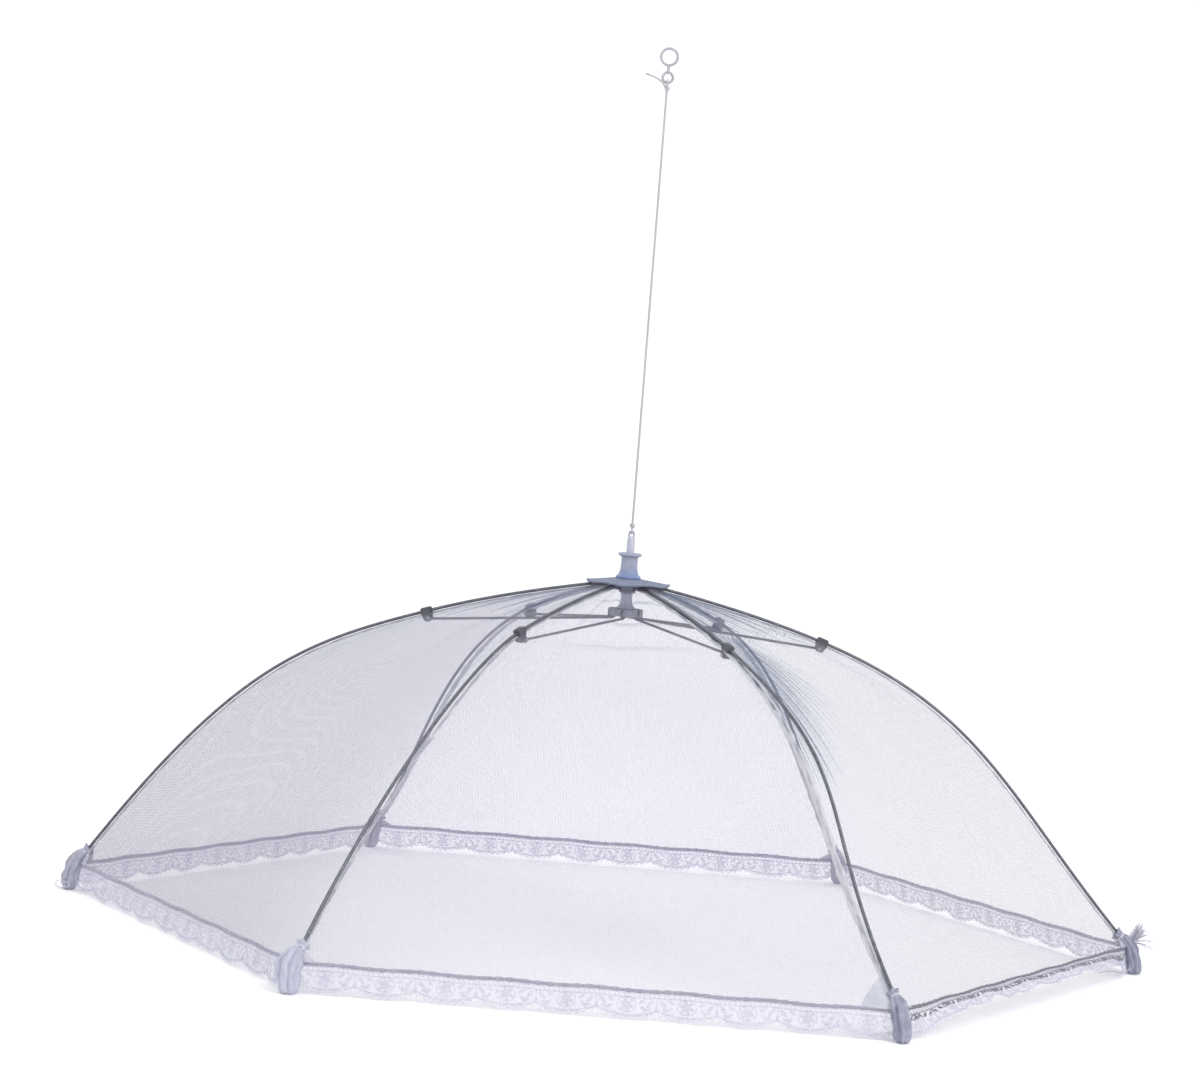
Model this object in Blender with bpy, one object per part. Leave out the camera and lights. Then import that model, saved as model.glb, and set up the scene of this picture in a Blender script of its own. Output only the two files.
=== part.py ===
"""Pull-cord mesh food cover, open on a table.

Six spring-wire ribs hang from a notched holder under a moulded crown. Six struts
join the ribs to a runner, which slides below the crown on a spindle. A cord with
a moulded ring pulls the spindle up and so opens the cover. A net canopy of six
gores, seam tapes, a lace border and corner pockets dress the frame.

Units are metres, +Z is up, the origin lies on the table below the crown, and
the first rib points along +X.
"""

import math

import bpy
from mathutils import Vector

# Counts
RIB_COUNT = 6
SCALLOPS = 10              # lace scallops on each side of the hexagon
WIRE_SIDES = 8
ROUND_SIDES = 20

# Clearances
FIT = 0.0003               # running and seating gap between touching pieces
OVERRUN = 0.004            # how far a cutter passes the faces it cuts

# Frame
RIM_RADIUS = 0.325         # axis to a rib's end
HEM_HEIGHT = 0.017         # rib ends and hem above the table
RIB_WIRE_RADIUS = 0.001
RIB_TOP_SLOPE = math.radians(9.8)
RIB_END_SLOPE = math.radians(38.0)
RIB_TOP_HANDLE_SHARE = 0.845
RIB_END_HANDLE_SHARE = 0.29
RIB_STEPS = 18
LOOP_STEPS = 9
LOOP_TURN = math.radians(285.0)

# Rib pivots in the crown
RIB_PIVOT_RADIUS = 0.008
RIB_PIVOT_HEIGHT = 0.2143
CROWN_RING_WIRE_RADIUS = 0.0007

# Rib clips, their pins and the struts
CLIP_RADIUS = 0.122        # axis to the clip, along the rib's plan
CLIP_DROP = 0.0046         # rib wire down to the strut's pin
CLIP_LENGTH = 0.007
CLIP_HALF_WIDTH = 0.0022
CLIP_WALL = 0.0006
CLIP_EDGE = 0.0004
PIN_RADIUS = 0.0007
PIN_HEAD_RADIUS = 0.0013
PIN_HEAD_THICKNESS = 0.0006
STRUT_WIRE_RADIUS = 0.0008
STRUT_LUG_RADIUS = 0.0019
STRUT_LUG_THICKNESS = 0.001
STRUT_END_OVERHANG = 0.0006

# Runner and spindle
RUNNER_DROP = 0.0183       # rib pivots down to the runner's ring wire
RUNNER_RING_RADIUS = 0.009
RUNNER_RING_WIRE_RADIUS = 0.0007
RUNNER_RIM = 0.0008        # wall outside the ring groove
RUNNER_THICKNESS = 0.0044
RUNNER_EDGE = 0.0006
SPINDLE_RADIUS = 0.00245
SPINDLE_NECK_RADIUS = 0.00335
SPINDLE_HEAD_RADIUS = 0.0031
SPINDLE_HEAD_THICKNESS = 0.0009
SPINDLE_PROUD = 0.0099     # rod above the crown when the cover is open
SPINDLE_EYE_RADIUS = 0.0016
SPINDLE_EYE_WIRE_RADIUS = 0.0006

# Crown
HOLDER_RIM = 0.0009
HOLDER_BELOW = 0.0026      # holder plate below the rib pivots
HOLDER_BOSS_RADIUS = 0.0052
HOLDER_BOSS_HEIGHT = 0.0019
PATCH_RADIUS = 0.0253
PATCH_THICKNESS = 0.0005
COLLAR_RADIUS = 0.00495
COLLAR_HEIGHT = 0.0158
COLLAR_FLARE_RADIUS = 0.0077
COLLAR_FLARE_HEIGHT = 0.0016
COLLAR_CONE_HEIGHT = 0.0018
COLLAR_FLANGE_RADIUS = 0.00725
COLLAR_FLANGE_HEIGHT = 0.002
COLLAR_CHAMFER = 0.0005
SLEEVE_RADIUS = 0.0045

# Net, seam tapes, lace and pockets
TAPE_HALF_WIDTH = 0.0033
TAPE_THICKNESS = 0.0005
TAPE_DROP = 0.0013         # rib wire to seam, near the crown and at the clip
SEAM_SAG = 0.0045          # how much further the seam hangs in below the clip
SEAM_START_RADIUS = 0.0125
NET_THICKNESS = 0.0005
NET_BOW = 0.005            # how far a gore's middle draws in
WRINKLE_HEIGHT = 0.0011
WRINKLES = 3
WRINKLE_LENGTH_SHARE = 0.5
NET_COLUMNS = 12
NET_ROWS = 10
LACE_DEPTH = 0.0158
LACE_THICKNESS = 0.0006
LACE_FLARE = math.radians(12.0)
SCALLOP_DEPTH = 0.0032
SCALLOP_COLUMNS = 4
POCKET_RADIUS = 0.0042
POCKET_GRIP = 0.0085       # how much of the rib's end the pocket holds
POCKET_REACH = 0.0045      # the pocket's foot beyond the rib's end
POCKET_FOLDS = 4
POCKET_FOLD_SHARE = 0.07
POCKET_SIDES = 16
POCKET_START_SHARE = 0.86  # along the rib, where the net starts to widen its slit
POCKET_EASE_SHARE = 0.1
POCKET_RADIUS_SHARES = ((0.0, 0.54), (0.2, 0.76), (0.42, 1.0), (0.65, 0.95), (0.85, 0.82), (1.0, 0.78))

# Pull cord
CORD_RADIUS = 0.0007
CORD_STEP = 0.0037
KNOT_RADIUS = 0.0015
KNOT_HALF_HEIGHT = 0.0019
RING_HEIGHT = 0.5382       # centre of the finger ring
RING_RADIUS = 0.00505
RING_WIRE_RADIUS = 0.00086
RING_NECK_RADIUS = 0.001
TIE_RING_RADIUS = 0.0031
TIE_RING_DROP = 0.0126     # finger ring's centre down to the tie ring's centre
TAIL_ROUTE = (
    (-0.0004, -0.0004, -0.0002),
    (-0.0029, -0.0011, 0.0008),
    (-0.0056, -0.0010, 0.0030),
    (-0.0088, -0.0006, 0.0056),
    (-0.0121, -0.0005, 0.0079),
)

# Sizes that follow
RIB_LOOP_RADIUS = CROWN_RING_WIRE_RADIUS + RIB_WIRE_RADIUS + FIT
ROD_BORE_RADIUS = SPINDLE_RADIUS + FIT
STRUT_SIDE = CLIP_HALF_WIDTH + FIT + STRUT_WIRE_RADIUS
STRUT_DIP = RUNNER_RING_WIRE_RADIUS + STRUT_WIRE_RADIUS + FIT
RUNNER_RING_HEIGHT = RIB_PIVOT_HEIGHT - RUNNER_DROP
RUNNER_FLOOR = RUNNER_RING_HEIGHT - RUNNER_RING_WIRE_RADIUS + FIT
RUNNER_TOP = RUNNER_FLOOR + RUNNER_THICKNESS
RUNNER_RADIUS = RUNNER_RING_RADIUS + RUNNER_RING_WIRE_RADIUS + FIT + RUNNER_RIM
HOLDER_FLOOR = RIB_PIVOT_HEIGHT - HOLDER_BELOW
HOLDER_TOP = RIB_PIVOT_HEIGHT + RIB_LOOP_RADIUS + RIB_WIRE_RADIUS + FIT / 2
HOLDER_RADIUS = RIB_PIVOT_RADIUS + CROWN_RING_WIRE_RADIUS + FIT + HOLDER_RIM
HOLDER_BOSS_FLOOR = HOLDER_FLOOR - HOLDER_BOSS_HEIGHT
PATCH_FLOOR = HOLDER_TOP + FIT
SLEEVE_FLOOR = HOLDER_TOP + FIT
COLLAR_FLOOR = PATCH_FLOOR + PATCH_THICKNESS + FIT
COLLAR_TOP = COLLAR_FLOOR + COLLAR_HEIGHT
SPINDLE_TOP = COLLAR_TOP + SPINDLE_PROUD
EYE_HEIGHT = SPINDLE_TOP + SPINDLE_EYE_RADIUS + SPINDLE_EYE_WIRE_RADIUS / 2
EYE_BAR_HEIGHT = EYE_HEIGHT + SPINDLE_EYE_RADIUS
EYE_TIE_RADIUS = SPINDLE_EYE_WIRE_RADIUS + CORD_RADIUS + FIT
LOW_KNOT_HEIGHT = EYE_BAR_HEIGHT + EYE_TIE_RADIUS + KNOT_HALF_HEIGHT
TIE_RING_HEIGHT = RING_HEIGHT - TIE_RING_DROP
TIE_BAR_HEIGHT = TIE_RING_HEIGHT - TIE_RING_RADIUS
RING_TIE_RADIUS = RING_WIRE_RADIUS + CORD_RADIUS + FIT
HIGH_KNOT_HEIGHT = TIE_BAR_HEIGHT - RING_TIE_RADIUS - KNOT_HALF_HEIGHT
CORD_BOTTOM = LOW_KNOT_HEIGHT + KNOT_HALF_HEIGHT + FIT
CORD_TOP = HIGH_KNOT_HEIGHT - KNOT_HALF_HEIGHT - FIT


def clear_scene():
    for obj in list(bpy.data.objects):
        bpy.data.objects.remove(obj, do_unlink=True)


def make_material(name, colour, roughness, metallic):
    material = bpy.data.materials.new(name)
    material.use_nodes = True
    shader = material.node_tree.nodes["Principled BSDF"]
    shader.inputs["Base Color"].default_value = (*colour, 1.0)
    shader.inputs["Roughness"].default_value = roughness
    shader.inputs["Metallic"].default_value = metallic
    return material


def link_object(name, data):
    obj = bpy.data.objects.new(name, data)
    bpy.context.scene.collection.objects.link(obj)
    return obj


def mesh_object(name, vertices, faces):
    mesh = bpy.data.meshes.new(name)
    mesh.from_pydata([tuple(v) for v in vertices], [], faces)
    mesh.update()
    return link_object(name, mesh)


def shade(mesh, angle=math.radians(35.0)):
    mesh.shade_smooth()
    mesh.set_sharp_from_angle(angle=angle)


def drop(obj):
    bpy.data.objects.remove(obj, do_unlink=True)


def baked(obj):
    """The object's evaluated mesh, with its curve bevel and modifiers made real."""
    graph = bpy.context.evaluated_depsgraph_get()
    graph.update()
    return bpy.data.meshes.new_from_object(obj.evaluated_get(graph))


def combine(obj, others, operation):
    """Unite or cut an object with others, which are used up."""
    for other in others:
        other.hide_render = True
        other.display_type = "WIRE"
        boolean = obj.modifiers.new(operation.lower(), "BOOLEAN")
        boolean.operation = operation
        boolean.solver = "EXACT"
        boolean.object = other
    mesh = baked(obj)
    name = obj.name
    for used in (obj, *others):
        drop(used)
    return link_object(name, mesh)


def turned(name, outline, sides=ROUND_SIDES):
    """A solid of revolution about Z. The outline lists (radius, height) and runs
    up the outer side; one that starts and ends on the axis has no bore."""
    solid_core = outline[0][0] == 0
    vertices, rings = [], []
    for radius, height in outline:
        if radius == 0:
            rings.append([len(vertices)] * sides)
            vertices.append((0, 0, height))
            continue
        rings.append(list(range(len(vertices), len(vertices) + sides)))
        for side in range(sides):
            angle = 2 * math.pi * side / sides
            vertices.append((radius * math.cos(angle), radius * math.sin(angle), height))
    faces = []
    pairs = list(zip(rings, rings[1:]))
    if not solid_core:
        pairs.append((rings[-1], rings[0]))
    for lower, upper in pairs:
        for side in range(sides):
            after = (side + 1) % sides
            corners = (lower[side], lower[after], upper[after], upper[side])
            faces.append(tuple(dict.fromkeys(corners)))
    return mesh_object(name, vertices, faces)


def ring(name, radius, wire_radius, height, steps=24):
    """A wire ring lying flat about the Z axis."""
    outline = []
    for side in range(WIRE_SIDES):
        angle = 2 * math.pi * side / WIRE_SIDES
        outline.append((radius + wire_radius * math.cos(angle), height + wire_radius * math.sin(angle)))
    return turned(name, outline, steps)


def wire(name, points, radius, closed=False):
    curve = bpy.data.curves.new(name, "CURVE")
    curve.dimensions = "3D"
    curve.bevel_depth = radius
    curve.bevel_resolution = 2
    curve.use_fill_caps = True
    spline = curve.splines.new("POLY")
    spline.points.add(len(points) - 1)
    for slot, point in zip(spline.points, points):
        slot.co = (*point, 1)
    spline.use_cyclic_u = closed
    return link_object(name, curve)


def wire_mesh(name, points, radius, closed=False):
    curve = wire(name + "_route", points, radius, closed)
    mesh = baked(curve)
    drop(curve)
    return link_object(name, mesh)


def box(name, size, centre):
    half = Vector(size) / 2
    corners = [(x, y, z) for x in (-1, 1) for y in (-1, 1) for z in (-1, 1)]
    vertices = [Vector(centre) + Vector(c) * half for c in corners]
    faces = [(0, 1, 3, 2), (4, 6, 7, 5), (0, 4, 5, 1), (2, 3, 7, 6), (0, 2, 6, 4), (1, 5, 7, 3)]
    return mesh_object(name, vertices, faces)


def rod_between(name, start, end, radius, sides=16):
    """A round bar from one point to another."""
    along = Vector(end) - Vector(start)
    obj = turned(name, [(0, 0), (radius, 0), (radius, along.length), (0, along.length)], sides)
    turn = Vector((0, 0, 1)).rotation_difference(along)
    for vertex in obj.data.vertices:
        vertex.co = turn @ vertex.co + Vector(start)
    return obj


def knot(name, centre, sides=10):
    """A lumpy hard knot of cord."""
    shares = ((0.0, -1.0), (0.62, -0.86), (1.0, -0.42), (0.86, 0.0), (1.0, 0.42), (0.62, 0.86), (0.0, 1.0))
    outline = [(KNOT_RADIUS * out, KNOT_HALF_HEIGHT * up) for out, up in shares]
    obj = turned(name, outline, sides)
    for vertex in obj.data.vertices:
        vertex.co += Vector(centre)
    return obj


def sheet(name, rows, thickness, holes=()):
    """A thin closed solid on a grid of points, with the listed grid cells open."""
    count_rows, count_columns = len(rows), len(rows[0])

    def normal(i, j):
        down = rows[min(i + 1, count_rows - 1)][j] - rows[max(i - 1, 0)][j]
        across = rows[i][min(j + 1, count_columns - 1)] - rows[i][max(j - 1, 0)]
        return down.cross(across).normalized()

    top, bottom = [], []
    for i in range(count_rows):
        for j in range(count_columns):
            lift = normal(i, j) * (thickness / 2)
            top.append(rows[i][j] + lift)
            bottom.append(rows[i][j] - lift)
    offset = len(top)
    cells = {(i, j) for i in range(count_rows - 1) for j in range(count_columns - 1)} - set(holes)
    faces = []
    for i, j in sorted(cells):
        a = i * count_columns + j
        b, c, d = a + count_columns, a + count_columns + 1, a + 1
        faces.append((a, b, c, d))
        faces.append((offset + d, offset + c, offset + b, offset + a))
        for near, start, end in (((i, j - 1), a, b), ((i + 1, j), b, c), ((i, j + 1), c, d), ((i - 1, j), d, a)):
            if near not in cells:
                faces.append((end, start, offset + start, offset + end))
    return mesh_object(name, top + bottom, faces)


def azimuth(number, share=0.0):
    """Direction of a rib, or of a place between it and the next."""
    return 2 * math.pi * (number + share) / RIB_COUNT


def arm_point(angle, out, side, height):
    """World place of a point given in the upright plane at an angle."""
    return Vector((
        out * math.cos(angle) - side * math.sin(angle),
        out * math.sin(angle) + side * math.cos(angle),
        height,
    ))


class RibLine:
    """The rib wire's centre line in its own upright plane, as (out, height)."""

    def __init__(self):
        leave = (math.sin(RIB_TOP_SLOPE), math.cos(RIB_TOP_SLOPE))
        start = Vector((
            RIB_PIVOT_RADIUS + RIB_LOOP_RADIUS * leave[0],
            RIB_PIVOT_HEIGHT + RIB_LOOP_RADIUS * leave[1],
        ))
        end = Vector((RIM_RADIUS, HEM_HEIGHT))
        top = Vector((math.cos(RIB_TOP_SLOPE), -math.sin(RIB_TOP_SLOPE)))
        foot = Vector((math.cos(RIB_END_SLOPE), -math.sin(RIB_END_SLOPE)))
        self.points = (
            start,
            start + top * RIB_TOP_HANDLE_SHARE * RIM_RADIUS,
            end - foot * RIB_END_HANDLE_SHARE * RIM_RADIUS,
            end,
        )

    def at(self, t):
        a, b, c, d = self.points
        s = 1 - t
        return a * s ** 3 + b * 3 * s * s * t + c * 3 * s * t * t + d * t ** 3

    def along(self, t):
        a, b, c, d = self.points
        s = 1 - t
        return ((b - a) * s * s + (c - b) * 2 * s * t + (d - c) * t * t).normalized()

    def inward(self, t):
        ahead = self.along(t)
        return Vector((ahead.y, -ahead.x))

    def find(self, reached):
        """Where along the line a test first holds."""
        low, high = 0.0, 1.0
        for _ in range(40):
            middle = (low + high) / 2
            if reached(self.at(middle)):
                high = middle
            else:
                low = middle
        return high

    def at_radius(self, radius):
        return self.find(lambda place: place.x >= radius)

    def before_end(self, distance):
        end = self.points[3]
        return self.find(lambda place: (end - place).length <= distance)


RIB = RibLine()
CLIP_T = RIB.at_radius(CLIP_RADIUS)
SEAM_START_T = RIB.at_radius(SEAM_START_RADIUS)
POCKET_T = RIB.before_end(POCKET_GRIP)
STRUT_PIVOT = RIB.at(CLIP_T) + RIB.inward(CLIP_T) * CLIP_DROP
PIVOT = Vector((RIB_PIVOT_RADIUS, RIB_PIVOT_HEIGHT))


def seam_point(t):
    """Centre of the seam below the rib wire, as (out, height)."""
    share = min(max((t - CLIP_T) / (1 - CLIP_T), 0.0), 1.0)
    drop_in = TAPE_DROP + TAPE_THICKNESS / 2 + SEAM_SAG * math.sin(math.pi * share) ** 2
    return RIB.at(t) + RIB.inward(t) * drop_in


def in_arm(points, side=0.0):
    """Points of the rib's plane as 3-D points about the rib's pivot."""
    return [Vector((p.x - PIVOT.x, side, p.y - PIVOT.y)) for p in points]


def make_rib():
    """Spring wire with an open eye at the crown end."""
    leave = math.pi / 2 - RIB_TOP_SLOPE
    loop = []
    for step in range(LOOP_STEPS, 0, -1):
        angle = leave + LOOP_TURN * step / LOOP_STEPS
        loop.append(PIVOT + Vector((math.cos(angle), math.sin(angle))) * RIB_LOOP_RADIUS)
    curve = [RIB.at(step / RIB_STEPS) for step in range(RIB_STEPS + 1)]
    return wire_mesh("rib", in_arm(loop + curve), RIB_WIRE_RADIUS)


def clip_frame():
    """The clip's middle and its two directions in the rib's plane."""
    ahead, inward = RIB.along(CLIP_T), RIB.inward(CLIP_T)
    middle = in_arm([RIB.at(CLIP_T)])[0]
    return middle, Vector((ahead.x, 0, ahead.y)), Vector((inward.x, 0, inward.y))


def make_clip():
    """Moulded block that grips the rib and carries the strut's pin."""
    middle, ahead, inward = clip_frame()
    above = RIB_WIRE_RADIUS + FIT + CLIP_WALL
    below = CLIP_DROP + PIN_RADIUS + FIT + CLIP_WALL
    obj = box("clip", (CLIP_LENGTH, 2 * CLIP_HALF_WIDTH, above + below), (0, 0, (above - below) / 2))
    edge = obj.modifiers.new("edge", "BEVEL")
    edge.width = CLIP_EDGE
    edge.segments = 1
    for vertex in obj.data.vertices:
        place = vertex.co.copy()
        vertex.co = middle + ahead * place.x + Vector((0, place.y, 0)) - inward * place.z
    reach = ahead * (CLIP_LENGTH / 2 + OVERRUN)
    wire_bore = rod_between("wire_bore", middle - reach, middle + reach, RIB_WIRE_RADIUS + FIT, 12)
    pin = middle + inward * CLIP_DROP
    across = Vector((0, CLIP_HALF_WIDTH + OVERRUN, 0))
    pin_bore = rod_between("pin_bore", pin - across, pin + across, PIN_RADIUS + FIT, 12)
    return combine(obj, [wire_bore, pin_bore], "DIFFERENCE")


def make_pin():
    """Rivet through the clip and the strut's lug, with a head at each end."""
    middle, _, inward = clip_frame()
    far_head = STRUT_SIDE + STRUT_LUG_THICKNESS / 2 + FIT
    near_head = -CLIP_HALF_WIDTH - FIT
    outline = [
        (0, near_head - PIN_HEAD_THICKNESS),
        (PIN_HEAD_RADIUS, near_head - PIN_HEAD_THICKNESS),
        (PIN_HEAD_RADIUS, near_head),
        (PIN_RADIUS, near_head),
        (PIN_RADIUS, far_head),
        (PIN_HEAD_RADIUS, far_head),
        (PIN_HEAD_RADIUS, far_head + PIN_HEAD_THICKNESS),
        (0, far_head + PIN_HEAD_THICKNESS),
    ]
    obj = turned("pin", outline, 12)
    turn = Vector((0, 0, 1)).rotation_difference(Vector((0, 1, 0)))
    for vertex in obj.data.vertices:
        vertex.co = turn @ vertex.co + middle + inward * CLIP_DROP
    return obj


def strut_hook():
    """Where the strut meets the runner's ring wire, in the rib's plane."""
    out = math.sqrt(RUNNER_RING_RADIUS ** 2 - STRUT_SIDE ** 2)
    return Vector((out, RUNNER_RING_HEIGHT))


def make_strut():
    """Straight wire with a flat lug on the pin; its inner end passes under the
    runner's ring. Places are about the pin."""
    hook = strut_hook() - STRUT_PIVOT
    inward = hook.normalized()
    under = Vector((-inward.y, inward.x))
    if under.y > 0:
        under = -under
    end = hook + under * STRUT_DIP
    end += end.normalized() * STRUT_END_OVERHANG
    start = end.normalized() * (PIN_RADIUS + FIT + STRUT_WIRE_RADIUS / 2)
    line = [Vector((p.x, STRUT_SIDE, p.y)) for p in (start, (start + end) / 2, end)]
    obj = wire_mesh("strut", line, STRUT_WIRE_RADIUS)
    half = STRUT_LUG_THICKNESS / 2
    bore = PIN_RADIUS + FIT
    lug = turned("lug", [(bore, -half), (STRUT_LUG_RADIUS, -half), (STRUT_LUG_RADIUS, half), (bore, half)], 16)
    turn = Vector((0, 0, 1)).rotation_difference(Vector((0, 1, 0)))
    for vertex in lug.data.vertices:
        vertex.co = turn @ vertex.co + Vector((0, STRUT_SIDE, 0))
    return combine(obj, [lug], "UNION")


def make_pocket():
    """Bunched bag of cloth over the rib's end, with a flat foot on the table."""
    top = RIB.at(POCKET_T)
    foot = Vector((RIM_RADIUS + POCKET_REACH, 0))
    bend = Vector((foot.x, HEM_HEIGHT))
    vertices, faces = [], []
    for t, radius_share in POCKET_RADIUS_SHARES:
        place = top * (1 - t) ** 2 + bend * 2 * t * (1 - t) + foot * t * t
        ahead = ((bend - top) * (1 - t) + (foot - bend) * t).normalized()
        outward = Vector((-ahead.y, ahead.x))
        for side in range(POCKET_SIDES):
            angle = 2 * math.pi * side / POCKET_SIDES
            fold = 1 + POCKET_FOLD_SHARE * t * math.cos(POCKET_FOLDS * angle)
            radius = POCKET_RADIUS * radius_share * fold
            spot = place + outward * radius * math.cos(angle)
            vertices.append(Vector((spot.x - PIVOT.x, radius * math.sin(angle), spot.y - PIVOT.y)))
    for level in range(len(POCKET_RADIUS_SHARES) - 1):
        for side in range(POCKET_SIDES):
            a = level * POCKET_SIDES + side
            b = level * POCKET_SIDES + (side + 1) % POCKET_SIDES
            faces.append((a, b, b + POCKET_SIDES, a + POCKET_SIDES))
    last = len(vertices) - POCKET_SIDES
    faces.append(tuple(range(POCKET_SIDES - 1, -1, -1)))
    faces.append(tuple(range(last, len(vertices))))
    obj = mesh_object("pocket", vertices, faces)
    start, end = in_arm([RIB.at(POCKET_T), RIB.at(1.0)])
    ahead = (end - start).normalized()
    bore = rod_between("bore", start - ahead * OVERRUN, end + ahead * FIT, RIB_WIRE_RADIUS + FIT, 12)
    return combine(obj, [bore], "DIFFERENCE")


def make_seam_tape():
    """Tape that binds two gores below a rib, slotted where the clip passes."""
    slot = CLIP_LENGTH / 2 + FIT * 2
    slot_half_width = CLIP_HALF_WIDTH + FIT
    slot_start = RIB.find(lambda place: (place - RIB.at(CLIP_T)).length <= slot or place.x > CLIP_RADIUS)
    slot_end = RIB.find(lambda place: place.x > CLIP_RADIUS and (place - RIB.at(CLIP_T)).length >= slot)
    end = RIB.before_end(POCKET_GRIP + POCKET_RADIUS / 2)
    inner_rows, outer_rows = 4, 10
    places = [SEAM_START_T + (slot_start - SEAM_START_T) * n / inner_rows for n in range(inner_rows + 1)]
    places += [slot_end + (end - slot_end) * n / outer_rows for n in range(outer_rows + 1)]
    sides = (-TAPE_HALF_WIDTH, -slot_half_width, slot_half_width, TAPE_HALF_WIDTH)
    rows = []
    for t in places:
        spot = seam_point(t)
        rows.append([Vector((spot.x - PIVOT.x, side, spot.y - PIVOT.y)) for side in sides])
    return sheet("tape", rows, TAPE_THICKNESS, holes=[(inner_rows, 1)])


def gore_edge(t, angle, turn):
    """Edge of a gore beside a rib; it stands off further beside the pocket."""
    near_pocket = min(max((t - POCKET_START_SHARE) / POCKET_EASE_SHARE, 0.0), 1.0)
    beside_tape = TAPE_HALF_WIDTH + 2 * FIT
    beside_pocket = POCKET_RADIUS * (1 + POCKET_FOLD_SHARE) + 2 * FIT
    side = beside_tape + (beside_pocket - beside_tape) * near_pocket
    spot = seam_point(t)
    return arm_point(angle, spot.x, side * turn, spot.y)


def gore_rows(columns, number_rows):
    """Points of the gore between the first two ribs, crown to hem."""
    middle = azimuth(0, 0.5)
    rows = []
    for i in range(number_rows + 1):
        share = i / number_rows
        t = SEAM_START_T + (1 - SEAM_START_T) * share
        first, last = gore_edge(t, azimuth(0), 1), gore_edge(t, azimuth(1), -1)
        inward = RIB.inward(t)
        draw = arm_point(middle, inward.x, 0, inward.y)
        fade = max(1 - share / WRINKLE_LENGTH_SHARE, 0.0)
        row = []
        for j in range(columns + 1):
            u = j / columns
            bow = NET_BOW * 4 * u * (1 - u) * math.sin(math.pi * share)
            wrinkle = WRINKLE_HEIGHT * math.sin(2 * math.pi * WRINKLES * u) * fade * min(4 * share, 1.0)
            row.append(first.lerp(last, u) + draw * (bow + wrinkle))
        rows.append(row)
    return rows


def panel_origin():
    return arm_point(azimuth(0, 0.5), RIB_PIVOT_RADIUS, 0, RIB_PIVOT_HEIGHT)


def about_panel(rows):
    """Points of the first gore as places about its pivot, with +X outwards."""
    origin, angle = panel_origin(), azimuth(0, 0.5)
    turned_rows = []
    for row in rows:
        shifted = [p - origin for p in row]
        turned_rows.append([arm_point(-angle, p.x, p.y, p.z) for p in shifted])
    return turned_rows


def make_net():
    rows = gore_rows(NET_COLUMNS, NET_ROWS)
    return sheet("net", about_panel(rows), NET_THICKNESS)


def make_lace():
    """Scalloped border that hangs from the hem of one gore."""
    first, last = gore_edge(1.0, azimuth(0), 1), gore_edge(1.0, azimuth(1), -1)
    down = arm_point(azimuth(0, 0.5), math.sin(LACE_FLARE), 0, -math.cos(LACE_FLARE))
    top = NET_THICKNESS / 2 + 2 * FIT
    columns = SCALLOPS * SCALLOP_COLUMNS
    rows = [[], [], []]
    for j in range(columns + 1):
        u = j / columns
        dip = abs(math.sin(math.pi * SCALLOPS * u))
        depth = LACE_DEPTH - SCALLOP_DEPTH * (1 - dip)
        hem = first.lerp(last, u)
        rows[0].append(hem + down * top)
        rows[1].append(hem + down * (top + LACE_DEPTH / 2))
        rows[2].append(hem + down * depth)
    return sheet("lace", about_panel(rows), LACE_THICKNESS)


def slot_cutters(name, inner, outer, half_width, side, floor, top):
    """Boxes that cut one radial slot for each rib or strut."""
    cutters = []
    for number in range(RIB_COUNT):
        size = (outer - inner, 2 * half_width, top - floor)
        cutter = box(name, size, ((inner + outer) / 2, side, (floor + top) / 2))
        for vertex in cutter.data.vertices:
            vertex.co = arm_point(azimuth(number), vertex.co.x, vertex.co.y, vertex.co.z)
        cutters.append(cutter)
    return cutters


def make_holder():
    """Notched disc under the crown: the ribs' eyes sit in its slots, on a ring
    wire laid in its groove."""
    groove_half = CROWN_RING_WIRE_RADIUS + FIT
    groove_floor = RIB_PIVOT_HEIGHT - groove_half
    outline = [
        (ROD_BORE_RADIUS, HOLDER_BOSS_FLOOR),
        (HOLDER_BOSS_RADIUS, HOLDER_BOSS_FLOOR),
        (HOLDER_BOSS_RADIUS, HOLDER_FLOOR),
        (HOLDER_RADIUS, HOLDER_FLOOR),
        (HOLDER_RADIUS, HOLDER_TOP),
        (RIB_PIVOT_RADIUS + groove_half, HOLDER_TOP),
        (RIB_PIVOT_RADIUS + groove_half, groove_floor),
        (RIB_PIVOT_RADIUS - groove_half, groove_floor),
        (RIB_PIVOT_RADIUS - groove_half, HOLDER_TOP),
        (ROD_BORE_RADIUS, HOLDER_TOP),
    ]
    obj = turned("rib_holder", outline, 2 * ROUND_SIDES)
    slots = slot_cutters(
        "rib_slot",
        RIB_PIVOT_RADIUS - RIB_LOOP_RADIUS - RIB_WIRE_RADIUS - FIT,
        HOLDER_RADIUS + OVERRUN,
        RIB_WIRE_RADIUS + FIT,
        0,
        HOLDER_BOSS_FLOOR - OVERRUN,
        HOLDER_TOP + OVERRUN,
    )
    return combine(obj, slots, "DIFFERENCE")


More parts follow.
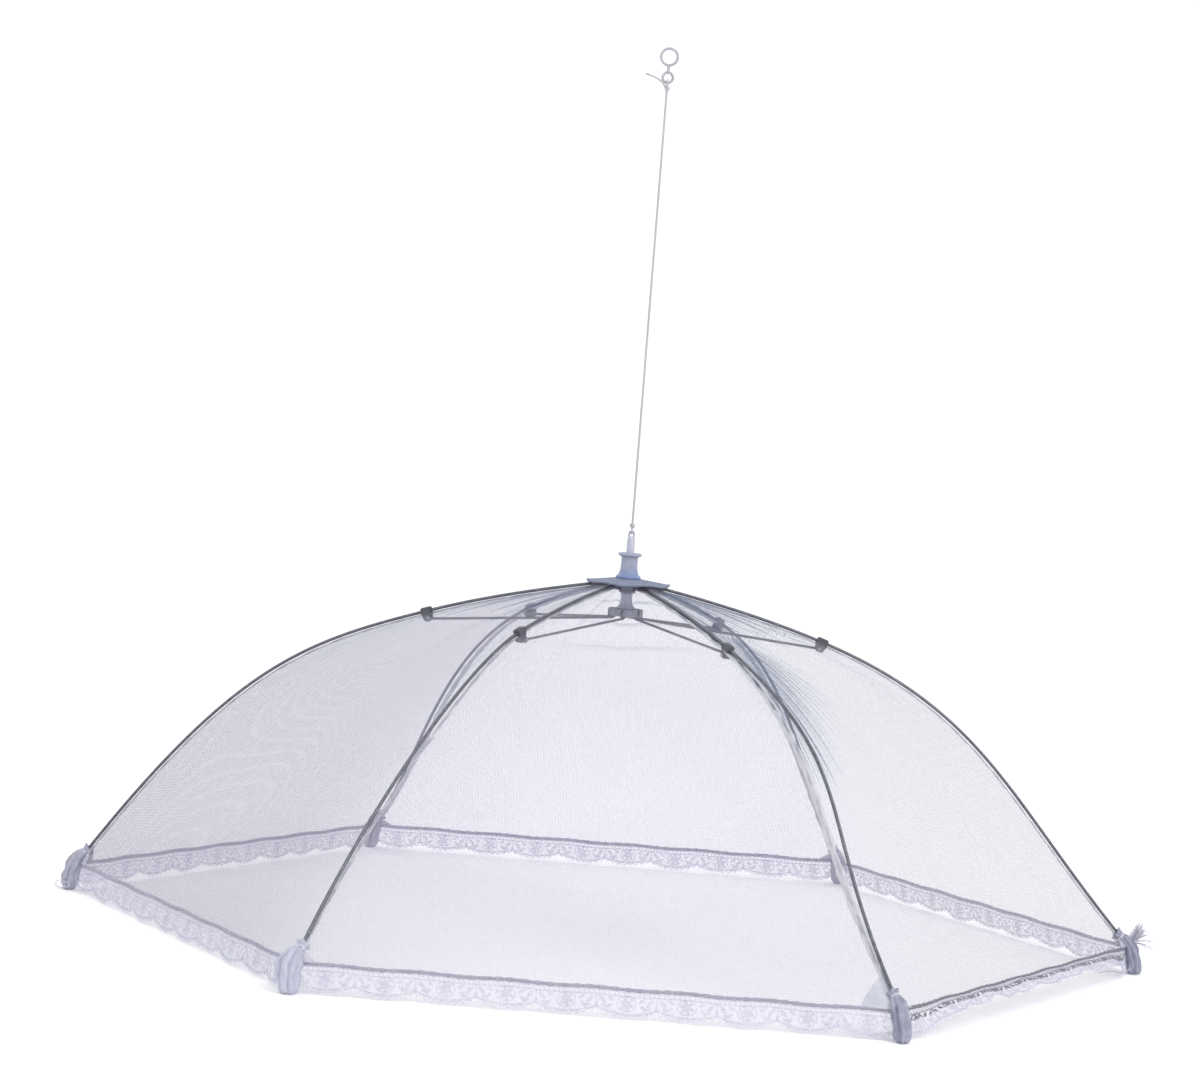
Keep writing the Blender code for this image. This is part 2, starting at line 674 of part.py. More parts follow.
def make_runner():
    """Slotted disc that holds the struts' ring wire in a groove below."""
    groove_half = RUNNER_RING_WIRE_RADIUS + FIT
    groove_roof = RUNNER_RING_HEIGHT + groove_half
    outline = [
        (ROD_BORE_RADIUS, RUNNER_FLOOR),
        (RUNNER_RING_RADIUS - groove_half, RUNNER_FLOOR),
        (RUNNER_RING_RADIUS - groove_half, groove_roof),
        (RUNNER_RING_RADIUS + groove_half, groove_roof),
        (RUNNER_RING_RADIUS + groove_half, RUNNER_FLOOR),
        (RUNNER_RADIUS, RUNNER_FLOOR),
        (RUNNER_RADIUS, RUNNER_TOP - RUNNER_EDGE),
        (RUNNER_RADIUS - RUNNER_EDGE, RUNNER_TOP),
        (ROD_BORE_RADIUS, RUNNER_TOP),
    ]
    obj = turned("runner", outline, 2 * ROUND_SIDES)
    slots = slot_cutters(
        "strut_slot",
        strut_hook().x - STRUT_WIRE_RADIUS,
        RUNNER_RADIUS + OVERRUN,
        STRUT_WIRE_RADIUS + FIT,
        STRUT_SIDE,
        RUNNER_FLOOR - OVERRUN,
        RUNNER_TOP + OVERRUN,
    )
    return combine(obj, slots, "DIFFERENCE")


def make_spindle():
    """Stepped rod: a riveted foot below the runner, a neck whose shoulder stops
    under the crown, and a thin rod with an eye that passes up through it."""
    foot_top = RUNNER_FLOOR - FIT
    foot = foot_top - SPINDLE_HEAD_THICKNESS
    neck_floor = RUNNER_TOP + FIT
    neck_top = HOLDER_BOSS_FLOOR - FIT
    outline = [
        (0, foot),
        (SPINDLE_HEAD_RADIUS, foot),
        (SPINDLE_HEAD_RADIUS, foot_top),
        (SPINDLE_RADIUS, foot_top),
        (SPINDLE_RADIUS, neck_floor),
        (SPINDLE_NECK_RADIUS, neck_floor),
        (SPINDLE_NECK_RADIUS, neck_top),
        (SPINDLE_RADIUS, neck_top),
        (SPINDLE_RADIUS, SPINDLE_TOP - COLLAR_CHAMFER),
        (SPINDLE_RADIUS - COLLAR_CHAMFER, SPINDLE_TOP),
        (0, SPINDLE_TOP),
    ]
    obj = turned("spindle", outline)
    eye = circle_wire("eye", SPINDLE_EYE_RADIUS, SPINDLE_EYE_WIRE_RADIUS, EYE_HEIGHT, "XZ", 16)
    return combine(obj, [eye], "UNION")


def circle_wire(name, radius, wire_radius, height, plane, steps):
    """An upright wire circle centred on the axis."""
    points = []
    for step in range(steps):
        angle = 2 * math.pi * step / steps
        across, up = radius * math.cos(angle), height + radius * math.sin(angle)
        points.append(Vector((across, 0, up)) if plane == "XZ" else Vector((0, across, up)))
    return wire_mesh(name, points, wire_radius, closed=True)


def make_collar():
    """Moulded crown collar with a top flange and a flared foot."""
    cone_top = COLLAR_FLOOR + COLLAR_FLARE_HEIGHT + COLLAR_CONE_HEIGHT
    flange_floor = COLLAR_TOP - COLLAR_FLANGE_HEIGHT
    outline = [
        (ROD_BORE_RADIUS, SLEEVE_FLOOR),
        (SLEEVE_RADIUS, SLEEVE_FLOOR),
        (SLEEVE_RADIUS, COLLAR_FLOOR),
        (COLLAR_FLARE_RADIUS, COLLAR_FLOOR),
        (COLLAR_FLARE_RADIUS, COLLAR_FLOOR + COLLAR_FLARE_HEIGHT),
        (COLLAR_RADIUS, cone_top),
        (COLLAR_RADIUS, flange_floor - COLLAR_CHAMFER),
        (COLLAR_RADIUS + COLLAR_CHAMFER, flange_floor),
        (COLLAR_FLANGE_RADIUS, flange_floor),
        (COLLAR_FLANGE_RADIUS, COLLAR_TOP - COLLAR_CHAMFER),
        (COLLAR_FLANGE_RADIUS - COLLAR_CHAMFER, COLLAR_TOP),
        (ROD_BORE_RADIUS, COLLAR_TOP),
    ]
    return turned("crown_collar", outline, 24)


def make_patch():
    """Cloth disc over the ribs, clamped between the collar and the holder."""
    bore = SLEEVE_RADIUS + FIT
    fall = (PATCH_RADIUS - HOLDER_RADIUS) * math.tan(RIB_TOP_SLOPE)
    outline = [
        (bore, PATCH_FLOOR),
        (HOLDER_RADIUS, PATCH_FLOOR),
        (PATCH_RADIUS, PATCH_FLOOR - fall),
        (PATCH_RADIUS, PATCH_FLOOR - fall + PATCH_THICKNESS),
        (HOLDER_RADIUS, PATCH_FLOOR + PATCH_THICKNESS),
        (bore, PATCH_FLOOR + PATCH_THICKNESS),
    ]
    return turned("top_patch", outline, 36)


def make_pull_ring():
    """Moulded finger ring with a smaller ring below for the cord."""
    big = circle_wire("pull_ring", RING_RADIUS, RING_WIRE_RADIUS, RING_HEIGHT, "XZ", 24)
    small = circle_wire("tie_ring", TIE_RING_RADIUS, RING_WIRE_RADIUS, TIE_RING_HEIGHT, "XZ", 18)
    low = Vector((0, 0, TIE_RING_HEIGHT + TIE_RING_RADIUS))
    high = Vector((0, 0, RING_HEIGHT - RING_RADIUS))
    neck = rod_between("neck", low, high, RING_NECK_RADIUS, 10)
    return combine(big, [small, neck], "UNION")


def smooth_route(points, steps):
    """Points on a smooth curve through a route's own points."""
    padded = [points[0]] + list(points) + [points[-1]]
    found = []
    for first, second, third, fourth in zip(padded, padded[1:], padded[2:], padded[3:]):
        a, b, c, d = (Vector(p) for p in (first, second, third, fourth))
        for step in range(steps):
            t = step / steps
            found.append(
                b + (c - a) * t / 2
                + (a * 2 - b * 5 + c * 4 - d) * t * t / 2
                + (b * 3 - a - c * 3 + d) * t ** 3 / 2
            )
    return found + [Vector(points[-1])]


def make_low_knot():
    """Knot above the spindle's eye, with the loop of cord through the eye."""
    loop = circle_wire("spindle_knot", EYE_TIE_RADIUS, CORD_RADIUS, EYE_BAR_HEIGHT, "YZ", 14)
    lump = knot("lump", (0, 0, LOW_KNOT_HEIGHT))
    return combine(loop, [lump], "UNION")


def make_high_knot():
    """Knot below the pull ring, with its loop and the cord's free tail."""
    loop = circle_wire("ring_knot", RING_TIE_RADIUS, CORD_RADIUS, TIE_BAR_HEIGHT, "YZ", 14)
    lump = knot("lump", (0, 0, HIGH_KNOT_HEIGHT))
    tail = wire_mesh("tail", [p + Vector((0, 0, HIGH_KNOT_HEIGHT)) for p in smooth_route(TAIL_ROUTE, 2)], CORD_RADIUS)
    return combine(loop, [lump, tail], "UNION")


def make_cord():
    """The cord's free stretch, pulled straight up from the spindle."""
    steps = round((CORD_TOP - CORD_BOTTOM) / CORD_STEP)
    points = [Vector((0, 0, CORD_BOTTOM + (CORD_TOP - CORD_BOTTOM) * n / steps)) for n in range(steps + 1)]
    return wire("cord", points, CORD_RADIUS)


def finish(obj, parent, material):
    """Name the material, smooth the surface and hang the piece on its pivot."""
    if obj.type == "MESH":
        shade(obj.data)
    obj.data.materials.clear()
    obj.data.materials.append(material)
    obj.parent = parent


def make_pivot(name, place, angle=0.0, parent=None):
    pivot = link_object(name, None)
    pivot.location = place
    pivot.rotation_euler = (0, 0, angle)
    pivot.parent = parent
    return pivot


def place_copies(prototype, base, pivots, colour, roughness, metallic):
    """One named copy of a piece on each pivot, numbered from 1."""
    for number, pivot in enumerate(pivots, start=1):
        name = f"{base}_{number}"
        copy = link_object(name, prototype.data.copy())
        finish(copy, pivot, make_material(name, colour, roughness, metallic))
    drop(prototype)


def place_once(obj, name, parent, colour, roughness, metallic):
    obj.name = name
    finish(obj, parent, make_material(name, colour, roughness, metallic))


def build_crown():
    crown = make_pivot("crown_frame", (0, 0, 0))
    place_once(make_collar(), "crown_collar", crown, (0.62, 0.64, 0.74), 0.45, 0.0)
    place_once(make_holder(), "rib_holder", crown, (0.55, 0.57, 0.66), 0.5, 0.0)
    wire_ring = ring("crown_ring", RIB_PIVOT_RADIUS, CROWN_RING_WIRE_RADIUS, RIB_PIVOT_HEIGHT)
    place_once(wire_ring, "crown_ring_wire", crown, (0.35, 0.35, 0.36), 0.35, 0.9)
    place_once(make_patch(), "top_patch", crown, (0.66, 0.68, 0.78), 0.9, 0.0)


def build_runner():
    guide = make_pivot("runner_slide", (0, 0, 0))
    place_once(make_runner(), "runner", guide, (0.5, 0.51, 0.56), 0.5, 0.0)
    wire_ring = ring("runner_ring", RUNNER_RING_RADIUS, RUNNER_RING_WIRE_RADIUS, RUNNER_RING_HEIGHT)
    place_once(wire_ring, "runner_ring_wire", guide, (0.35, 0.35, 0.36), 0.35, 0.9)
    place_once(make_spindle(), "spindle", guide, (0.66, 0.67, 0.74), 0.45, 0.0)
    place_once(make_low_knot(), "spindle_knot", guide, (0.72, 0.72, 0.74), 0.8, 0.0)
    place_once(make_cord(), "cord", guide, (0.72, 0.72, 0.74), 0.7, 0.0)
    place_once(make_high_knot(), "ring_knot", guide, (0.72, 0.72, 0.74), 0.8, 0.0)
    place_once(make_pull_ring(), "pull_ring", guide, (0.6, 0.6, 0.63), 0.4, 0.0)


def build_arms():
    rib_pivots, strut_pivots = [], []
    for number in range(RIB_COUNT):
        place = arm_point(azimuth(number), PIVOT.x, 0, PIVOT.y)
        rib_pivot = make_pivot(f"rib_pivot_{number + 1}", place, azimuth(number))
        offset = STRUT_PIVOT - PIVOT
        strut_pivot = make_pivot(f"strut_pivot_{number + 1}", (offset.x, 0, offset.y), 0.0, rib_pivot)
        rib_pivots.append(rib_pivot)
        strut_pivots.append(strut_pivot)
    place_copies(make_rib(), "rib", rib_pivots, (0.2, 0.2, 0.21), 0.4, 0.9)
    place_copies(make_clip(), "joint_clip", rib_pivots, (0.16, 0.15, 0.15), 0.55, 0.0)
    place_copies(make_pin(), "clip_pin", rib_pivots, (0.4, 0.4, 0.41), 0.35, 0.9)
    place_copies(make_strut(), "strut", strut_pivots, (0.24, 0.24, 0.25), 0.4, 0.9)
    place_copies(make_pocket(), "corner_pocket", rib_pivots, (0.55, 0.55, 0.65), 0.9, 0.0)
    place_copies(make_seam_tape(), "seam_tape", rib_pivots, (0.75, 0.75, 0.8), 0.9, 0.0)


def build_panels():
    pivots = []
    for number in range(RIB_COUNT):
        angle = azimuth(number, 0.5)
        place = arm_point(angle, RIB_PIVOT_RADIUS, 0, RIB_PIVOT_HEIGHT)
        pivots.append(make_pivot(f"panel_pivot_{number + 1}", place, angle))
    place_copies(make_net(), "net_panel", pivots, (0.78, 0.77, 0.87), 0.9, 0.0)
    place_copies(make_lace(), "lace_edge", pivots, (0.82, 0.82, 0.9), 0.9, 0.0)


def main():
    clear_scene()
    build_crown()
    build_runner()
    build_arms()
    build_panels()
    bpy.context.view_layer.update()


main()
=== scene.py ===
"""Looks of the pull-cord mesh food cover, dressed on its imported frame.

Metres, +Z up, the table at zero. Rib 1 points along +X and the others follow
anticlockwise; the camera looks along +Y.
"""

import math
import random

import bmesh
import bpy
from mathutils import Matrix, Vector


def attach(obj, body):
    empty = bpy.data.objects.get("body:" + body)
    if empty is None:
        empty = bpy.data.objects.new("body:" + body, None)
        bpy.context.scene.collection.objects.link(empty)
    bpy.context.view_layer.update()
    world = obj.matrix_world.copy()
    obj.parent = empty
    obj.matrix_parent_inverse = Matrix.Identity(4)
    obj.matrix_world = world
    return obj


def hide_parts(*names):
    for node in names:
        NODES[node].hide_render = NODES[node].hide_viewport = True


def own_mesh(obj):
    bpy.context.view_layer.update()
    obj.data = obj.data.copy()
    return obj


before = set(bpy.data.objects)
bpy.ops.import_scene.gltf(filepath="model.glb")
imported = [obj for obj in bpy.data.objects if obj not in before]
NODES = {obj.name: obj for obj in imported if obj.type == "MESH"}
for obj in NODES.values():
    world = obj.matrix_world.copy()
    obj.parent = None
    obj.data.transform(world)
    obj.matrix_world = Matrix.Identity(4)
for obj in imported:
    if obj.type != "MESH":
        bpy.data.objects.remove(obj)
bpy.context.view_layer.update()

# The frame's own sizes, as its source has them
RIB_COUNT = 6
RIM_RADIUS = 0.325
HEM_HEIGHT = 0.017
RIB_WIRE_RADIUS = 0.001
RIB_TOP_SLOPE = math.radians(9.8)
RIB_END_SLOPE = math.radians(38.0)
RIB_HANDLES = (0.845, 0.29)
PIVOT = Vector((0.008, 0.2143))
RIB_LOOP_RADIUS = 0.002
CLIP_RADIUS = 0.122
CLIP_DROP = 0.0046
STRUT_SIDE = 0.0033
RUNNER_RING_RADIUS = 0.009
RUNNER_RING_HEIGHT = 0.196
RUNNER_FLOOR = 0.1956
RUNNER_TOP = 0.2
HOLDER_TOP = 0.21745
COLLAR_FLOOR = 0.21855
COLLAR_TOP = 0.23435
SPINDLE_TOP = 0.24425
EYE_BAR_HEIGHT = 0.24775
RING_HEIGHT = 0.5382
TIE_RING_HEIGHT = 0.5256
CORD_RADIUS = 0.0007
CORD_BOTTOM = 0.25345
CORD_TOP = 0.51654
POCKET_GRIP = 0.0085
POCKET_REACH = 0.0045
POCKET_RADIUS = 0.0042
SEAM_START_RADIUS = 0.0125
NET_BOW = 0.005
LACE_DEPTH = 0.0158
LACE_TOP = 0.0009
# How far each side's lace flares from hanging straight, in degrees, and the length of its ease from each corner
LACE_FLARES = (12, 12, 12, 12, 12, 78)
CORNER_FLARE = 12
FLARE_EASE = 0.055
SCALLOPS = 10
# Each rib's own bend beyond its clip: end slope in degrees, and its two handles as shares of the span
RIB_BENDS = (
    (46, 0.415, 0.436),
    (44, 0.42, 0.40),
    (38, 0.50, 0.30),
    (56, 0.30, 0.58),
    (54, 0.25, 0.30),
    (42, 0.60, 0.50),
)
# Half width of the cloth band along each seam
BAND_HALVES = (0.0012, 0.0018, 0.0016, 0.0012, 0.0009, 0.0026)
# How much wider than its frame each corner's bag of cloth swells
POCKET_SWELLS = (0.85, 1.1, 1.1, 1.05, 1.3, 1.0)
# How far each bag leans sideways at its middle
POCKET_LEANS = (0.0, 0.0006, -0.0006, 0.0008, -0.0024, -0.0009)
# Which cloth each bag is made of, dark at the right and front right corners
POCKET_FINISHES = ("pocket", "pocket_grey", "pocket_grey", "pocket_grey", "pocket_pale", "pocket")
# How far the seams lie inside their ribs' wires, and how far each one sags beyond that at most
SEAM_DROP = 0.00118
SEAM_SAGS = (0.0003, 0.004, 0.004, 0.0002, 0.003, 0.0115)
# The cord's free tail above its upper knot
TAIL_ROUTE = (
    (-0.0004, -0.0004, -0.0002),
    (-0.0018, -0.0012, 0.0020),
    (-0.0042, -0.0013, 0.0045),
    (-0.0080, -0.0008, 0.0066),
    (-0.0121, -0.0005, 0.0079),
)


def azimuth(number, share=0.0):
    """Direction of a rib, or of a place between it and the next."""
    return 2 * math.pi * (number + share) / RIB_COUNT


def arm_point(angle, out, side, height):
    """World place of a point given in the upright plane at an angle."""
    return Vector((
        out * math.cos(angle) - side * math.sin(angle),
        out * math.sin(angle) + side * math.cos(angle),
        height,
    ))


def handled(start, slope, near, end, end_slope, far):
    """The four points of a smooth bend between two places, its slopes falling outward."""
    first = Vector((math.cos(slope), -math.sin(slope)))
    last = Vector((math.cos(end_slope), -math.sin(end_slope)))
    return start, start + first * near, end - last * far, end


def bend_at(points, t):
    a, b, c, d = points
    s = 1 - t
    return a * s ** 3 + b * 3 * s * s * t + c * 3 * s * t * t + d * t ** 3


def bend_along(points, t):
    a, b, c, d = points
    s = 1 - t
    return ((b - a) * s * s + (c - b) * 2 * s * t + (d - c) * t * t).normalized()


RIB_END = Vector((RIM_RADIUS, HEM_HEIGHT))
FRAME_BEND = handled(
    PIVOT + Vector((math.sin(RIB_TOP_SLOPE), math.cos(RIB_TOP_SLOPE))) * RIB_LOOP_RADIUS,
    RIB_TOP_SLOPE, RIB_HANDLES[0] * RIM_RADIUS, RIB_END, RIB_END_SLOPE, RIB_HANDLES[1] * RIM_RADIUS,
)


def first_share(reached, low=0.0, high=1.0):
    """Where a test first holds on the way from one share to another."""
    for _ in range(40):
        middle = (low + high) / 2
        if reached(middle):
            high = middle
        else:
            low = middle
    return high


CLIP_T = first_share(lambda t: bend_at(FRAME_BEND, t).x >= CLIP_RADIUS)
SEAM_START_T = first_share(lambda t: bend_at(FRAME_BEND, t).x >= SEAM_START_RADIUS)


def own_bend(slope, near, far):
    """One rib's bend from its clip to its end."""
    start, along = bend_at(FRAME_BEND, CLIP_T), bend_along(FRAME_BEND, CLIP_T)
    span = (RIB_END - start).length
    clip_slope = math.atan2(-along.y, along.x)
    return handled(start, clip_slope, near * span, RIB_END, math.radians(slope), far * span)


OWN_BENDS = [own_bend(*bend) for bend in RIB_BENDS]


def past_clip(t):
    return min(max((t - CLIP_T) / (1 - CLIP_T), 0.0), 1.0)


def rib_at(rib, t):
    """A rib wire's centre line in its own plane, as (out, height)."""
    return bend_at(FRAME_BEND, t) if t <= CLIP_T else bend_at(OWN_BENDS[rib], past_clip(t))


def rib_along(rib, t):
    return bend_along(FRAME_BEND, t) if t <= CLIP_T else bend_along(OWN_BENDS[rib], past_clip(t))


def rib_inward(rib, t):
    ahead = rib_along(rib, t)
    return Vector((ahead.y, -ahead.x))


def before_end(rib, length):
    """Where along a rib its end is just that far off."""
    return first_share(lambda t: (RIB_END - rib_at(rib, t)).length <= length, CLIP_T)


def seam_point(rib, t):
    """Centre of the seam that hangs inside a rib's wire, as (out, height)."""
    sag = SEAM_SAGS[rib] * math.sin(math.pi * past_clip(t) ** 0.9) ** 1.5
    return rib_at(rib, t) + rib_inward(rib, t) * (SEAM_DROP + sag)


# ---- camera, floor and light ----

FLOOR_SIZE = 6.0
FLOOR_HEIGHT = -0.0004
COVE_RADIUS = 1.4
IMAGE_WIDTH = 1200
SENSOR_WIDTH = 0.036
FOCAL_PIXELS = 3424.0
VIEW_AZIMUTH = math.radians(0.35)
VIEW_ELEVATION = math.radians(2.75)
VIEW_ROLL = math.radians(4.51)
VIEW_DISTANCE = 2.108
VIEW_SHIFT = (-0.0104, 0.1141)
VIEW_CENTRE = Vector((0.0, 0.0, 0.1308))


def place_camera():
    back = Vector((
        math.sin(VIEW_AZIMUTH) * math.cos(VIEW_ELEVATION),
        -math.cos(VIEW_AZIMUTH) * math.cos(VIEW_ELEVATION),
        math.sin(VIEW_ELEVATION),
    ))
    level = Vector((math.cos(VIEW_AZIMUTH), math.sin(VIEW_AZIMUTH), 0.0))
    upright = back.cross(level)
    right = level * math.cos(VIEW_ROLL) + upright * math.sin(VIEW_ROLL)
    up = upright * math.cos(VIEW_ROLL) - level * math.sin(VIEW_ROLL)
    place = VIEW_CENTRE + back * VIEW_DISTANCE + right * VIEW_SHIFT[0] + up * VIEW_SHIFT[1]
    camera = bpy.data.objects.new("photo_view", bpy.data.cameras.new("photo_view"))
    camera.data.sensor_width = SENSOR_WIDTH * 1000
    camera.data.lens = FOCAL_PIXELS / IMAGE_WIDTH * SENSOR_WIDTH * 1000
    camera.data.clip_start = 0.05
    turn = Matrix((right, up, back)).transposed()
    camera.matrix_world = Matrix.Translation(place) @ turn.to_4x4()
    bpy.context.scene.collection.objects.link(camera)
    bpy.context.scene.camera = camera


def soft_light(name, place, aim, size, watts, tint):
    lamp = bpy.data.lights.new(name, "AREA")
    lamp.shape = "DISK"
    lamp.size = size
    lamp.energy = watts
    lamp.color = tint
    light = bpy.data.objects.new(name, lamp)
    light.location = place
    light.rotation_euler = (Vector(aim) - Vector(place)).to_track_quat("-Z", "Y").to_euler()
    bpy.context.scene.collection.objects.link(light)


def light_studio():
    world = bpy.data.worlds.new("studio")
    world.use_nodes = True
    world.node_tree.nodes["Background"].inputs["Color"].default_value = (0.975, 0.98, 1.0, 1.0)
    world.node_tree.nodes["Background"].inputs["Strength"].default_value = 1.05
    bpy.context.scene.world = world
    soft_light("key", (1.5, -1.9, 2.1), (0, 0, 0.1), 1.6, 34, (1.0, 0.985, 0.965))
    soft_light("rim", (-1.6, 1.5, 1.7), (0, 0, 0.15), 1.2, 9, (0.93, 0.96, 1.0))
    bpy.context.scene.view_settings.view_transform = "Standard"
    bpy.context.scene.cycles.transparent_max_bounces = 48


# ---- shader expressions ----


class Shade:
    """A shader socket that can stand in a sum."""

    def __init__(self, recipe, socket):
        self.recipe = recipe
        self.socket = socket

    def sum(self, operation, *values, first=None):
        values = (self, *values) if first is None else (first, self, *values)
        settings = {"operation": operation}
        return self.recipe.node("ShaderNodeMath", settings, dict(enumerate(values)))

    def __add__(self, other):
        return self.sum("ADD", other)

    __radd__ = __add__

    def __sub__(self, other):
        return self.sum("SUBTRACT", other)

    def __rsub__(self, other):
        return self.sum("SUBTRACT", first=other)

    def __mul__(self, other):
        return self.sum("MULTIPLY", other)

    __rmul__ = __mul__

    def __pow__(self, other):
        return self.sum("POWER", other)

    def wave(self):
        return self.sum("SINE")

    def fold(self, pitch):
        """Distance to the nearest multiple of a pitch, from 0 to 0.5 of it."""
        return ((self * (1 / pitch)).sum("FRACT") - 0.5).sum("ABSOLUTE")

    def most(self, other):
        return self.sum("MAXIMUM", other)

    def least(self, other):
        return self.sum("MINIMUM", other)

    def ease(self, low, high, start=0.0, end=1.0):
        values = {"Value": self, "From Min": low, "From Max": high, "To Min": start, "To Max": end}
        return self.recipe.node("ShaderNodeMapRange", {"interpolation_type": "SMOOTHSTEP"}, values)


class Recipe:
    """One finish, its node tree written as expressions."""

    def __init__(self, name, **settled):
        self.material = bpy.data.materials.new(name)
        self.material.use_nodes = True
        self.tree = self.material.node_tree
        self.shader = self.tree.nodes["Principled BSDF"]
        for socket, value in settled.items():
            self.shader.inputs[socket.replace("_", " ")].default_value = value

    def node(self, kind, settings=None, values=None, out=0):
        made = self.tree.nodes.new(kind)
        for setting, value in (settings or {}).items():
            if setting == "stops":
                for place, colour in value[2:]:
                    made.color_ramp.elements.new(place)
                for stop, (place, colour) in zip(made.color_ramp.elements, sorted(value)):
                    stop.position = place
                    stop.color = (*colour, 1.0)
            else:
                setattr(made, setting, value)
        for socket, value in (values or {}).items():
            if isinstance(value, Shade):
                self.tree.links.new(value.socket, made.inputs[socket])
            else:
                made.inputs[socket].default_value = value
        return Shade(self, made.outputs[out])

    def place(self, kind="Object"):
        return self.node("ShaderNodeTexCoord", out=kind)

    def uv(self):
        """The piece's own flat lengths across and down, in metres."""
        flat = self.place("UV")
        return [self.node("ShaderNodeSeparateXYZ", values={0: flat}, out=axis) for axis in range(2)]

    def axes(self):
        place = self.place()
        return [self.node("ShaderNodeSeparateXYZ", values={0: place}, out=axis) for axis in range(3)]

    def noise(self, scale, detail=3.0, rough=0.55, place=None):
        values = {"Vector": place or self.place(), "Scale": scale, "Detail": detail, "Roughness": rough}
        return self.node("ShaderNodeTexNoise", values=values)

    def stretched(self, scales):
        values = {0: self.place(), 1: scales}
        return self.node("ShaderNodeVectorMath", {"operation": "MULTIPLY"}, values)

    def held(self, name):
        """A number that the mesh holds at each point."""
        return self.node("ShaderNodeAttribute", {"attribute_name": name}, out="Fac")

    def mix(self, share, first, second):
        def full(colour):
            return colour if isinstance(colour, Shade) else (*colour, 1.0)

        values = {"Factor": share, 6: full(first), 7: full(second)}
        return self.node("ShaderNodeMix", {"data_type": "RGBA"}, values, out=2)

    def bump(self, height, distance, strength=1.0, under=None):
        values = {"Height": height, "Distance": distance, "Strength": strength}
        if under is not None:
            values["Normal"] = under
        return self.node("ShaderNodeBump", values=values)

    def feed(self, **sockets):
        for socket, value in sockets.items():
            target = self.shader.inputs[socket.replace("_", " ")]
            if isinstance(value, Shade):
                self.tree.links.new(value.socket, target)
            else:
                target.default_value = value
        return self.material


NET_PITCH = 0.00105
CLOTH_PITCH = 0.0005
NET_LIGHT = (0.44, 0.42, 0.57)
NET_SHADE = (0.37, 0.355, 0.51)
NET_GREY = (0.40, 0.39, 0.45)
# painted shade for the gores with heavy threads, the left ones that face away from the key light
NET_PAINTED_SHADE = (0.27, 0.265, 0.35)
# painted shade in the net's gathers, creases and tension lines
NET_FOLD_SHADE = (0.10, 0.135, 0.22)
# painted shade on the flared-up front right lace and hem
SHADED_CLOTH = (0.16, 0.16, 0.19)


def netting():
    """Fine lavender netting; gathered folds stand denser, and painted shade darkens and blues them and the gores with
    heavy threads.
    """
    recipe = Recipe("netting", Roughness=0.85, Sheen_Weight=0.15, Specular_IOR_Level=0.2)
    across, down = recipe.uv()
    gather = recipe.held("gather")
    cloud = recipe.noise(9.0)
    fine = recipe.noise(420.0, 2.0)
    crease = recipe.held("crease")
    values = {"W": crease * 38.0, "Scale": 1.0, "Detail": 2.5}
    streaks = recipe.node("ShaderNodeTexNoise", {"noise_dimensions": "1D"}, values).ease(0.44, 0.62)
    weight = recipe.held("weight")
    width = (0.026 + 0.022 * fine) * weight
    warp = (across.fold(NET_PITCH) - width).ease(0.02, -0.02)
    weft = (down.fold(NET_PITCH) - width).ease(0.02, -0.02)
    mesh = warp.most(weft)
    # how many layers the gathers and lines stack: the net's real density, and also how much painted shade its creases
    # get
    layers = gather * (0.3 + 1.1 * streaks) * (0.75 + 0.25 * fine.ease(0.35, 0.6))
    layers = layers.most(recipe.held("line")).least(0.9)
    colour = recipe.mix(cloud.ease(0.35, 0.7), NET_LIGHT, NET_SHADE)
    colour = recipe.mix(recipe.held("grey"), colour, NET_GREY)
    # painted shade: gores with heavy threads turn darker and greyer
    colour = recipe.mix(weight.ease(1.5, 2.4) * 0.9, colour, NET_PAINTED_SHADE)
    # painted shade: gathers and creases turn darker and bluer
    colour = recipe.mix(layers.ease(0.0, 0.38), colour, NET_FOLD_SHADE)
    height = warp * 0.6 + weft + streaks * gather * 3.0
    return recipe.feed(
        Base_Color=colour,
        Alpha=(mesh * 0.8).most(weight * 0.095 + 0.03 * cloud).most(layers),
        Normal=recipe.bump(height, 0.0002, 0.5),
    )


def woven_cloth(name, light, shade, cover, pitch=CLOTH_PITCH):
    """Close plain weave with some see-through between its threads; points marked with painted shade turn dark and
    dense.
    """
    recipe = Recipe(name, Roughness=0.88, Sheen_Weight=0.2, Specular_IOR_Level=0.2)
    across, down = recipe.uv()
    warp = (across * (2 * math.pi / pitch)).wave()
    weft = (down * (2 * math.pi / pitch)).wave()
    weave = warp * weft
    cloud = recipe.noise(160.0)
    colour = recipe.mix(cloud.ease(0.3, 0.7), light, shade)
    colour = recipe.mix(weave.ease(-1.0, 1.0) * 0.3, colour, tuple(c * 0.6 for c in shade))
    # painted shade marked on the front right hem
    deep = recipe.held("deep")
    return recipe.feed(
        Base_Color=recipe.mix(deep, colour, SHADED_CLOTH),
        Alpha=(weave.ease(-1.0, 0.4) * (1 - cover) + cover).least(1.0).most(deep),
        Normal=recipe.bump(weave + cloud, 0.00012, 0.6),
    )


def lace_ground():
    """Diagonal net that carries the lace's flowers, worked open in small ovals."""
    recipe = Recipe("lace_ground", Roughness=0.9, Sheen_Weight=0.15, Specular_IOR_Level=0.2)
    across, down = recipe.uv()
    one = (across + down).fold(0.0013)
    two = (across - down).fold(0.0013)
    fine = recipe.noise(500.0, 2.0)
    width = 0.1 + 0.07 * fine
    mesh = (one - width).ease(0.03, -0.03).most((two - width).ease(0.03, -0.03))
    flat = recipe.node("ShaderNodeCombineXYZ", values={0: across * 330.0, 1: down * 620.0})
    cells = recipe.node("ShaderNodeTexVoronoi", {"voronoi_dimensions": "2D"}, {"Vector": flat, "Scale": 1.0})
    worked = cells.ease(0.2, 0.42)
    return recipe.feed(
        Base_Color=recipe.mix(fine, (0.64, 0.63, 0.75), (0.54, 0.53, 0.65)),
        Alpha=(mesh * 0.45).most(worked * 0.22 + 0.25),
        Normal=recipe.bump(mesh + worked, 0.0002, 0.4),
    )


